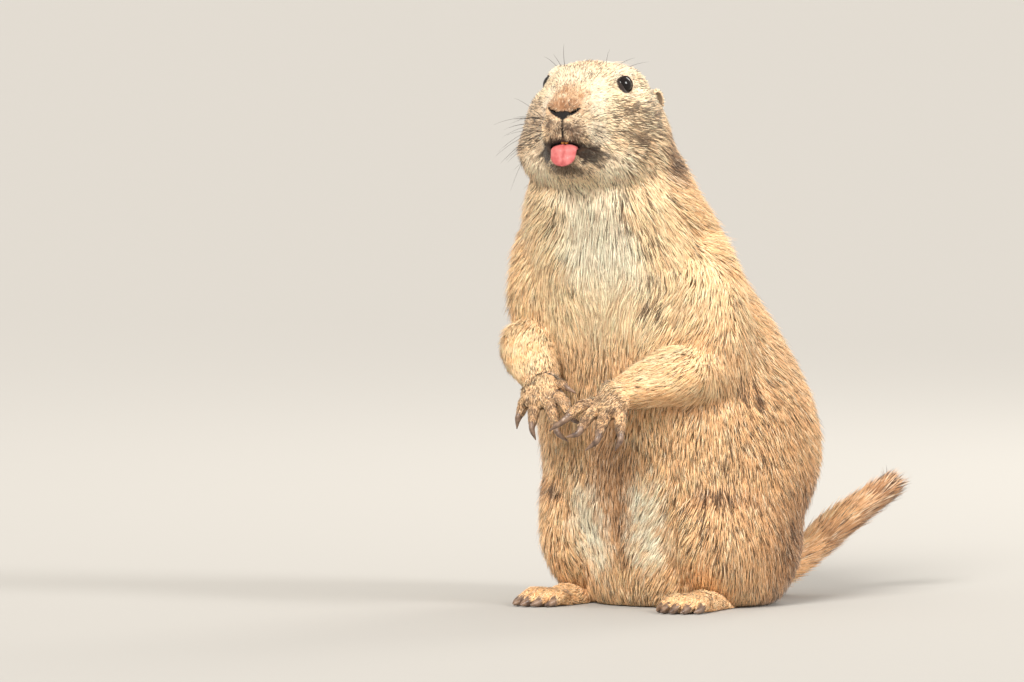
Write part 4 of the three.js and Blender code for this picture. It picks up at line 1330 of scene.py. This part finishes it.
def clumps(roots, size, seed):
    """Joins neighbouring tufts in clumps: cells of a grid that noise warps. Gives each tuft's
    clump number and the middle of its clump."""
    warp = columns_of(*(0.6 * size * ripple(roots, size * 2.7, seed + k) for k in range(3)))
    cells = np.floor((roots + warp) / size).astype(np.int64)
    key = (cells[:, 0] * CELLS_ACROSS + cells[:, 1]) * CELLS_ACROSS + cells[:, 2]
    _, number = np.unique(key, return_inverse=True)
    count = np.bincount(number)
    middle = np.stack([np.bincount(number, roots[:, k]) for k in range(3)], axis=1) / count[:, None]
    return number, middle[number]


draw = np.random.default_rng(SEED)
density = coat_size(hide_points, hide_shares)[:, 3] * COAT_FULLNESS * (bare(hide_points)[0] < 0.5)
density = density * smooth_step(0.2, 1.2, hide_points[:, 2])
roots, root_normals = sprinkle(density, draw)
local = to_head(roots)
kept = (lid_gap(local) > 0.75) & (nose_gap(local) > 0.3) & (mouth_gap(local) > 0.4)
kept = kept & (ear_hollow(local) < 0.6)
roots, root_normals = roots[kept], root_normals[kept]
local = to_head(roots)
places = part_places(roots)
shares = part_shares(places)


def laid_flat(ways):
    """Directions less the part that stands along the hide's normals."""
    return ways - root_normals * (ways * root_normals).sum(-1)[:, None]


# The lie of the coat, which swerves a little from place to place and from tuft to tuft
lie = unit(laid_flat(sum(place[1] * share[:, None] for place, share in zip(places.values(), shares.T))))
swerve = 0.16 * ripple(roots, 26, 61) + 0.1 * ripple(roots, 9, 62) + draw.normal(0, 0.1, len(roots))
lie = unit(lie + np.cross(root_normals, lie) * swerve[:, None])
side_way = np.cross(root_normals, lie)

# One tuft in ten stands for guard hair, which is longer, narrower and more upright
GUARD_SHARE = 0.1
GUARD_LENGTH = 1.22
GUARD_LIFT = 1.35
GUARD_WIDTH = 0.7
length, lift, width, _ = coat_size(roots, shares).T
guard = draw.uniform(size=len(roots)) < GUARD_SHARE
length = length * draw.uniform(0.72, 1.12, len(roots)) * np.where(guard, GUARD_LENGTH, 1)
lift = lift * draw.uniform(0.55, 1.05, len(roots)) * np.where(guard, GUARD_LIFT, 1)
width = width * draw.uniform(0.75, 1.2, len(roots)) * np.where(guard, GUARD_WIDTH, 1)

# Each tuft's root, bend and tip, of which the tip and less so the bend lean to its clump's middle
CLUMP_SIZE = 3.6
CLUMP_PULL = 0.5
LONG_TUFT = 9
clump, clump_middle = clumps(roots, CLUMP_SIZE, 70)
pull = laid_flat(clump_middle - roots)
gather = CLUMP_PULL * np.minimum(length / LONG_TUFT, 1)
start = roots - root_normals * ROOT_SINK
bend = roots + lie * (length * BEND)[:, None] + root_normals * (lift * BEND_LIFT)[:, None]
bend = bend + pull * (gather * 0.4)[:, None]
tip = roots + lie * length[:, None] + root_normals * lift[:, None] + pull * gather[:, None]

# Tufts differ in shade from clump to clump and one by one, and some are darkly tipped. The roots
# are dark, but less so in pale hair, and orange on the forearms.
colour, fleck = coat_tone(roots, shares)
clump_draw = np.random.default_rng(SEED + 1).uniform(size=clump.max() + 1)[clump]
shade = 1 + 0.08 * draw.normal(size=len(roots)) + 0.1 * (clump_draw - 0.5)
colour = np.clip(colour * shade[:, None], 0, 1)
dark_hair = fringe(local) * share_of(shares, "head")
swing = draw.normal(size=len(roots)) + 1.2 * (clump_draw - 0.5)
swing = swing * (1 - 0.8 * dark_hair)
colour = blend(colour, CREAM, np.clip(0.26 * swing, 0, 0.6))
colour = blend(colour, UMBER, np.clip(-0.2 * swing, 0, 0.6))
dark_tip = draw.uniform(size=len(roots)) < fleck * (0.4 + 1.2 * clump_draw)
root_tone = blend(colour * 0.58, UMBER, np.full(len(roots), 0.25))
root_tone = blend(root_tone, PALE * 0.75, 0.6 * smooth_step(0.3, 0.6, colour[:, 2]))
root_tone = blend(root_tone, ORANGE * 0.8, 0.6 * share_of(shares, "forearm"))
bend_tone = blend(colour, DARK, 0.7 * dark_tip)
tip_tone = np.where(dark_tip[:, None], DARK, np.clip(colour * 1.15, 0, 1))

# The coat is parted in pieces by the part of the body, height, side and angle from the front
MIDLINE = -6
part_number = shares.argmax(1)
kind = np.array([name.split("_")[0] for name in PARTS])[part_number]
_, root_height, root_angle, _ = trunk_place(roots)
turned = np.abs(root_angle)
side_label = np.where(roots[:, 0] > MIDLINE, "left", "right")
piece_names = np.full(len(roots), "coat_back_low", dtype="U24")


def region(chosen, name):
    """Gives the chosen tufts to the named piece of the coat."""
    piece_names[chosen] = name


on_trunk = kind == "trunk"
region(on_trunk & (root_height > 85), "coat_back_middle")
region(on_trunk & (root_height > 145), "coat_back_high")
for _, side_name in SIDES:
    on_side = side_label == side_name
    flank = on_trunk & on_side & (turned < 2.2)
    front = on_trunk & on_side & (turned < 0.75)
    on_head = on_side & (kind == "head")
    region(flank, f"coat_flank_{side_name}")
    region(flank & (root_height < 62), f"coat_thigh_{side_name}")
    region(flank & (root_height > 125), f"coat_shoulder_{side_name}")
    region(front, f"coat_belly_{side_name}")
    region(front & (root_height > 120), f"coat_chest_{side_name}")
    region(on_head & (local[:, 1] > -14), f"coat_crown_{side_name}")
    region(on_head & (local[:, 1] <= -14), f"coat_face_{side_name}")
    region(on_side & np.isin(kind, ("forearm", "palm", "digit")), f"coat_paw_{side_name}")
    region(on_side & np.isin(kind, ("foot", "toe")), f"coat_foot_{side_name}")
region(kind == "tail", "coat_tail")


def of_own_part(k):
    """The number k of the places, from the part that each tuft belongs to."""
    return np.stack([place[k] for place in places.values()], axis=1)[np.arange(len(roots)), part_number]


share_along = of_own_part(2)
share_round = of_own_part(3)
TILE_MARGIN = 0.02


def tuft_map(chosen):
    """The unwrap of one piece: its parts' tiles side by side, each filled by the share round and
    along the part, stretched to what the piece uses of it."""
    used, tile = np.unique(part_number[chosen], return_inverse=True)
    across = int(np.ceil(np.sqrt(len(used))))
    where = np.empty((len(chosen), 2))
    for k in range(len(used)):
        mine = tile == k
        spot = columns_of(share_round[chosen][mine], share_along[chosen][mine])
        low, high = spot.min(0), spot.max(0)
        spot = TILE_MARGIN + (1 - 2 * TILE_MARGIN) * (spot - low) / np.maximum(high - low, 1e-6)
        where[mine] = (np.array([k % across, k // across]) + spot) / across
    return where


# The corners of a tuft's six triangles, counted root, bend left, bend right, ridge and tip, and
# where these five lie in the tuft's patch of the map
TUFT_FACES = np.array([(0, 2, 1), (0, 3, 2), (0, 1, 3), (1, 2, 4), (2, 3, 4), (3, 1, 4)])
TUFT_OFFSETS = np.array([(0, -1), (-0.8, 0), (0.8, 0), (0, 0.3), (0, 1)]) * PATCH / 2


def tuft_mesh(name, chosen):
    """One piece of the coat: for each tuft a root point, three points round its bend and a tip,
    joined by six triangles, with its colours from root to tip and its patch of the unwrap."""
    flat = side_way[chosen] * width[chosen, None] / 2
    ridge = root_normals[chosen] * width[chosen, None] * RIDGE
    spots = np.stack([start[chosen], bend[chosen] - flat - ridge * 0.4, bend[chosen] + flat - ridge * 0.4,
                      bend[chosen] + ridge, tip[chosen]], axis=1)
    spots[..., 2] = np.maximum(spots[..., 2], FLOOR_CLEARANCE)
    faces = (np.arange(len(chosen)) * 5)[:, None, None] + TUFT_FACES
    mesh = make_mesh(name, spots.reshape(-1, 3), faces.reshape(-1, 3))
    tones = np.stack([root_tone[chosen], *[bend_tone[chosen]] * 3, tip_tone[chosen]], axis=1)
    set_colour(mesh, tones.reshape(-1, 3))
    where = tuft_map(chosen)[:, None] + TUFT_OFFSETS
    layer = mesh.uv_layers.new(name="OFBake")
    layer.data.foreach_set("uv", where.reshape(-1, 2)[faces.ravel()].astype(np.float32).ravel())
    own = np.empty(len(mesh.vertices) * 3, np.float32)
    mesh.vertex_normals.foreach_get("vector", own)
    shading = unit(own.reshape(-1, 3) + HIDE_SHADING * np.repeat(root_normals[chosen], 5, axis=0))
    mesh.normals_split_custom_set_from_vertices(shading)
    return mesh


fur = fur_material("fur", 0.35, 0.15)
for name in np.unique(piece_names):
    mesh = tuft_mesh(str(name), np.flatnonzero(piece_names == name))
    piece = add_piece(str(name), mesh, "fur_chest" if "chest" in name else "fur_back")
    piece.data.materials.append(fur)

# The eyes: glass in a museum's model, black-brown and wet, each a full ball set in its socket
# with a clear dome that stands a little proud between the lids.
EYE_BULGE = 0.35


def eye_mesh(side):
    """A ball whose front bulges: its radius grows by a smooth hump round the line of sight."""
    rows, count = 36, 48
    c, s = ring_angles(count)
    lift = np.linspace(-np.pi / 2 + 0.02, np.pi / 2 - 0.02, rows + 1)
    wide = np.cos(lift)[:, None]
    globe = columns_of(wide * c, wide * s, np.sin(lift)[:, None] + 0 * c)
    radius = EYE_RADIUS + EYE_BULGE * smooth_step(0.45, 0.95, globe[..., 2:])
    points, triangles = loft(globe * radius)
    return make_mesh("eye", from_head(points @ looking(side).T + mirrored(EYE_PLACE, side)), triangles)


def mottle_group():
    """A node group that mixes two colours by noise in the object's own place, evenly between
    0.35 and 0.65 of the noise, and gives the noise as a height too."""
    tree, start, end = new_group(
        "mottling",
        [("Dark", COLOUR_SOCKET, (0, 0, 0, 1)), ("Light", COLOUR_SOCKET, (1, 1, 1, 1)),
         ("Scale", VALUE_SOCKET, 300.0), ("Detail", VALUE_SOCKET, 4.0)],
        [("Colour", COLOUR_SOCKET), ("Height", VALUE_SOCKET)],
    )
    place = node(tree, "ShaderNodeTexCoord")
    noise = node(tree, "ShaderNodeTexNoise")
    tree.links.new(place.outputs["Object"], noise.inputs["Vector"])
    tree.links.new(start.outputs["Scale"], noise.inputs["Scale"])
    tree.links.new(start.outputs["Detail"], noise.inputs["Detail"])
    share = node(tree, "ShaderNodeMapRange", From_Min=0.35, From_Max=0.65)
    tree.links.new(noise.outputs["Fac"], share.inputs["Value"])
    mixed = node(tree, "ShaderNodeMix", data_type="RGBA")
    tree.links.new(share.outputs[0], mixed.inputs[0])
    tree.links.new(start.outputs["Dark"], mixed.inputs[6])
    tree.links.new(start.outputs["Light"], mixed.inputs[7])
    tree.links.new(mixed.outputs[2], end.inputs["Colour"])
    tree.links.new(noise.outputs["Fac"], end.inputs["Height"])
    return tree


mottling = mottle_group()


def plain_material(name, colour, roughness, specular=0.5, wet=0.0):
    """A material of one colour, with a clear wet coat where asked, and its tree and shader."""
    material = bpy.data.materials.new(name)
    material.use_nodes = True
    shader = material.node_tree.nodes["Principled BSDF"]
    shader.inputs["Base Color"].default_value = (*colour, 1)
    shader.inputs["Roughness"].default_value = roughness
    shader.inputs["Specular IOR Level"].default_value = specular
    shader.inputs["Coat Weight"].default_value = wet
    shader.inputs["Coat Roughness"].default_value = 0.03
    return material, material.node_tree, shader


def mottled(finish, dark, light, scale, detail=4.0, bump=0.0, depth=0.0002):
    """A plain material mottled between two colours, with a fine bump from the same noise."""
    material, tree, shader = finish
    spots = tree.nodes.new("ShaderNodeGroup")
    spots.node_tree = mottling
    for label, value in (("Dark", (*dark, 1)), ("Light", (*light, 1)), ("Scale", scale), ("Detail", detail)):
        spots.inputs[label].default_value = value
    tree.links.new(spots.outputs["Colour"], shader.inputs["Base Color"])
    if bump:
        raised = node(tree, "ShaderNodeBump", Strength=bump, Distance=depth)
        tree.links.new(spots.outputs["Height"], raised.inputs["Height"])
        tree.links.new(raised.outputs["Normal"], shader.inputs["Normal"])
    return material


eye_glass = mottled(plain_material("eye glass", DARK, 0.06, 0.3), tone(8, 5, 4), tone(18, 11, 8), 420)
for side, side_name in SIDES:
    eye = add_piece(f"eye_ball_{side_name}", eye_mesh(side), "eye", f"eye_{side_name}")
    eye.data.materials.append(eye_glass)

# The tongue, moist and pink, hangs over the lower lip. It is a flat limb of muscle with a
# groove down its middle and a round end.
TONGUE_PATH = [
    (0.5, -27, -15),
    (0.8, -36, -12.8),
    (0.9, -42.6, -11.8),
    (1.0, -45.8, -12.9),
    (1.0, -46.6, -15.9),
]
TONGUE_SIZES = [(4.6, 0.8), (5, 1.6), (5.8, 1.9), (6.4, 2.1), (6.2, 1.8)]
GROOVE_DEPTH = 0.65
GROOVE_WIDTH = 0.45


def tongue_mesh():
    """A flat limb with a dome, whose upper side sinks by a bell curve along its middle."""
    form = limb(TONGUE_PATH, TONGUE_SIZES, upward=(0, -0.7, 0.7), dome=5.2, steps=36)
    points, triangles = limb_shell(form, count=48, rounding=12)
    nearest = ((points[:, None] - form["middle"]) ** 2).sum(-1).argmin(1)
    away = points - form["middle"][nearest]
    side_way = (away * form["across"][nearest]).sum(-1)
    rise = (away * form["rise"][nearest]).sum(-1)
    sink = GROOVE_DEPTH * np.exp(-(side_way / GROOVE_WIDTH) ** 2) * smooth_step(0, 0.8, rise)
    points = points - form["rise"][nearest] * sink[:, None]
    return make_mesh("tongue", from_head(points), triangles)


tongue = add_piece("tongue_flesh", tongue_mesh(), "tongue", "tongue")
wet_flesh = plain_material("wet tongue", FLESH, 0.5, 0.22, 0.03)
tongue.data.materials.append(
    mottled(wet_flesh, tone(174, 86, 85), tone(192, 111, 108), 340, 6.0, 0.5, 0.0004))

# The upper incisors: two orange-yellow chisels of enamel behind the lip
TOOTH_TOP = np.array([0.95, -42.4, -5.5])
TOOTH_TIP = np.array([0.95, -42.9, -9.4])
enamel = mottled(
    plain_material("enamel", DARK, 0.25, 0.5, 0.3), tone(196, 122, 42), tone(236, 178, 90), 300)
for side, side_name in SIDES:
    form = limb([mirrored(TOOTH_TOP, side), mirrored(TOOTH_TIP, side)], [(0.85, 0.75), (0.85, 0.4)],
                upward=(0, -1, 0), dome=0.4, steps=8)
    tooth_points, tooth_triangles = limb_shell(form, count=20, rounding=5)
    tooth = add_piece(f"tooth_{side_name}", make_mesh("tooth", from_head(tooth_points), tooth_triangles),
                      "tooth", f"incisor_{side_name}")
    tooth.data.materials.append(enamel)

# The claws: thick curved horn, dark brown-grey, with growth rings across them, each grown out
# of the end of its digit
CLAW_SHARES = [0.6, 0.53, 0.43, 0.29, 0.08]
CLAW_STEPS = 48
CLAW_RINGS = 9
RING_DEPTH = 0.035


def claw_mesh(form, tip, radius):
    """A tapered limb from the digit's end, arched ahead and down to the tip, whose radius waves
    along its length for the growth rings."""
    end, ahead = form["middle"][-1], form["ahead"][-1]
    length = np.linalg.norm(tip - end)
    sizes = [(radius * share, radius * share * 1.15) for share in CLAW_SHARES]
    horn = limb([end - ahead * 0.5, end + ahead * length * 0.42, tip], sizes, dome=0.25, steps=CLAW_STEPS)
    rings = np.sin(np.linspace(0, 2 * np.pi * CLAW_RINGS, CLAW_STEPS + 1))
    wave = 1 + RING_DEPTH * rings * np.linspace(1, 0.2, CLAW_STEPS + 1)
    horn["wide"], horn["thick"] = horn["wide"] * wave, horn["thick"] * wave
    return make_mesh("claw", *limb_shell(horn, count=18))


horn = mottled(
    plain_material("horn", DARK, 0.38, 0.5, 0.15), tone(78, 60, 50), tone(138, 112, 92),
    330, 4.0, 0.4, 0.0002)
for claw_name, (form, claw_tip, radius) in claws.items():
    claw = add_piece(f"{claw_name}_horn", claw_mesh(form, claw_tip, radius), "claw", claw_name)
    claw.data.materials.append(horn)

# Whiskers: long black bristles in rows on the sides of the muzzle, with a few over the eyes and
# on the cheeks. Each is a thin three-sided taper that bows back.
WHISKER_ROWS = 4
WHISKERS_IN_ROW = 6
WHISKER_RADIUS = 0.11
WHISKER_STEPS = 9
WHISKER_BOW = np.array([0, 0.34, -0.22])
WHISKER_SINK = 1.2


def whisker_lines(side, draw):
    """Root, direction and length of each whisker of one side, in the head's frame."""
    lines = []
    for row in range(WHISKER_ROWS):
        for k in range(WHISKERS_IN_ROW):
            back = k / (WHISKERS_IN_ROW - 1)
            root = np.array([6.5 + 7.5 * back + 0.6 * row, -45 + 11 * back, 1.5 - 2.6 * row + 1.2 * back])
            way = np.array([1.0, -0.45 + 0.75 * back, 0.35 - 0.28 * row]) + draw.normal(0, 0.22, 3)
            lines.append((root + draw.normal(0, 0.5, 3), way, draw.uniform(12, 22) + 12 * back))
    for k in range(3):
        root = np.array([10.5 + 2.6 * k, -20 + 4.0 * k, 29.5 - 0.4 * k])
        way = np.array([0.15 + 0.5 * k, -0.5 + 0.45 * k, 1.0]) + draw.normal(0, 0.12, 3)
        lines.append((root, way, draw.uniform(13, 20)))
    for k in range(2):
        root = np.array([27.0, -18 + 6 * k, -9.0 - 4 * k])
        lines.append((root, np.array([1.0, 0.1, -0.25]), draw.uniform(14, 18)))
    return [(mirrored(root, side), mirrored(way, side), long) for root, way, long in lines]


def whisker_mesh(side):
    """Three-sided tapers: each line bends back and down along its length, by its square."""
    lines = whisker_lines(side, np.random.default_rng(33 + side))
    root, way, long = (np.array(part, float) for part in zip(*lines))
    way = unit(way)
    t = np.linspace(0, 1, WHISKER_STEPS)
    spots = root[:, None] + (way[:, None] * t[:, None] + WHISKER_BOW * (t**2)[:, None]) * long[:, None, None]
    spots = spots - way[:, None] * WHISKER_SINK
    across = unit(np.cross(way, (0, 0, 1)))
    rise = np.cross(across, way)
    c, s = ring_angles(3)
    radius = WHISKER_RADIUS * (1 - t) ** 0.7 + 0.02
    ring = across[:, None] * c[:, None] + rise[:, None] * s[:, None]
    rings = spots[:, :, None] + ring[:, None] * radius[:, None, None]
    points, triangles = joined([loft(line[:, ::-1]) for line in rings])
    return make_mesh("whiskers", from_head(points), triangles)


bristle = mottled(plain_material("bristle", DARK, 0.45), tone(24, 18, 15), tone(48, 38, 32), 200)
for side, side_name in SIDES:
    whiskers = add_piece(f"whiskers_{side_name}", whisker_mesh(side), "fur_back")
    whiskers.data.materials.append(bristle)

# The stage: a plain pale floor without an end, and the soft light of a studio
FLOOR_RADIUS = 60.0
FLOOR_CORNERS = 96
floor_mesh = bpy.data.meshes.new("floor")
c, s = ring_angles(FLOOR_CORNERS)
floor_ring = columns_of(FLOOR_RADIUS * c, FLOOR_RADIUS * s, 0)
floor_mesh.from_pydata(floor_ring.tolist(), [], [list(range(FLOOR_CORNERS))])
floor = bpy.data.objects.new("floor", floor_mesh)
bpy.context.scene.collection.objects.link(floor)
floor.data.materials.append(plain_material("pale floor", tone(172, 170, 166), 0.85, 0.2)[0])


def aim(thing, spot, target):
    """Puts a light or the camera at a spot and turns it to look at its target."""
    thing.location = spot
    thing.rotation_mode = "QUATERNION"
    thing.rotation_quaternion = (thing.location - Vector(target)).to_track_quat("Z", "Y")
    bpy.context.scene.collection.objects.link(thing)


def light(name, kind, energy, spot, target, size, colour):
    """A lamp of one kind: a sun's size is an angle, and an area lamp's is its width."""
    lamp = bpy.data.lights.new(name, kind)
    lamp.energy = energy
    lamp.color = colour
    if kind == "SUN":
        lamp.angle = size
    else:
        lamp.shape, lamp.size = "DISK", size
    aim(bpy.data.objects.new(name, lamp), spot, target)


# The photo's viewing angle, and the point that the middle of its frame looks at
VIEW_AZIMUTH = np.radians(34)
VIEW_ELEVATION = np.radians(3)
MM_PER_PIXEL = 0.48
FRAME_WIDTH = 1024
CAMERA_LENS = 400
CAMERA_SENSOR = 36
FRAME_MIDDLE = (-78.7, 125.3)
view_right = np.array([np.cos(VIEW_AZIMUTH), np.sin(VIEW_AZIMUTH), 0])
view_back = np.array([np.sin(VIEW_AZIMUTH) * np.cos(VIEW_ELEVATION),
                      -np.cos(VIEW_AZIMUTH) * np.cos(VIEW_ELEVATION), np.sin(VIEW_ELEVATION)])
view_up = np.cross(view_back, view_right)
target = (FRAME_MIDDLE[0] * view_right + FRAME_MIDDLE[1] * view_up - SEAT_MIDDLE) * MM
distance = MM_PER_PIXEL * FRAME_WIDTH * MM * CAMERA_LENS / CAMERA_SENSOR
camera = bpy.data.cameras.new("camera")
camera.lens, camera.sensor_width = CAMERA_LENS, CAMERA_SENSOR
camera.clip_end = 100
camera_object = bpy.data.objects.new("camera", camera)
aim(camera_object, target + view_back * distance, target)
bpy.context.scene.camera = camera_object

body_middle = np.array([0, -0.02, 0.13])
key_side = view_back * 1.0 - view_right * 0.4 + np.array([0, 0, 0.75])
light("key", "SUN", 3.7, body_middle + 3 * key_side, body_middle, 0.36, (1.0, 0.97, 0.92))
light("fill", "SUN", 1.8, body_middle + 3 * (view_right + 0.6 * view_back + 0.6 * view_up), body_middle,
      0.32, (1.0, 0.98, 0.96))
light("rim", "AREA", 9.0, body_middle + 1.1 * (-view_back + 0.7 * view_right + 0.9 * view_up), body_middle,
      0.7, (1.0, 0.97, 0.9))
world = bpy.data.worlds.new("studio")
world.use_nodes = True
world.node_tree.nodes["Background"].inputs["Color"].default_value = (0.99, 0.93, 0.86, 1)
world.node_tree.nodes["Background"].inputs["Strength"].default_value = 0.85
bpy.context.scene.world = world
bpy.context.scene.view_settings.view_transform = "Standard"
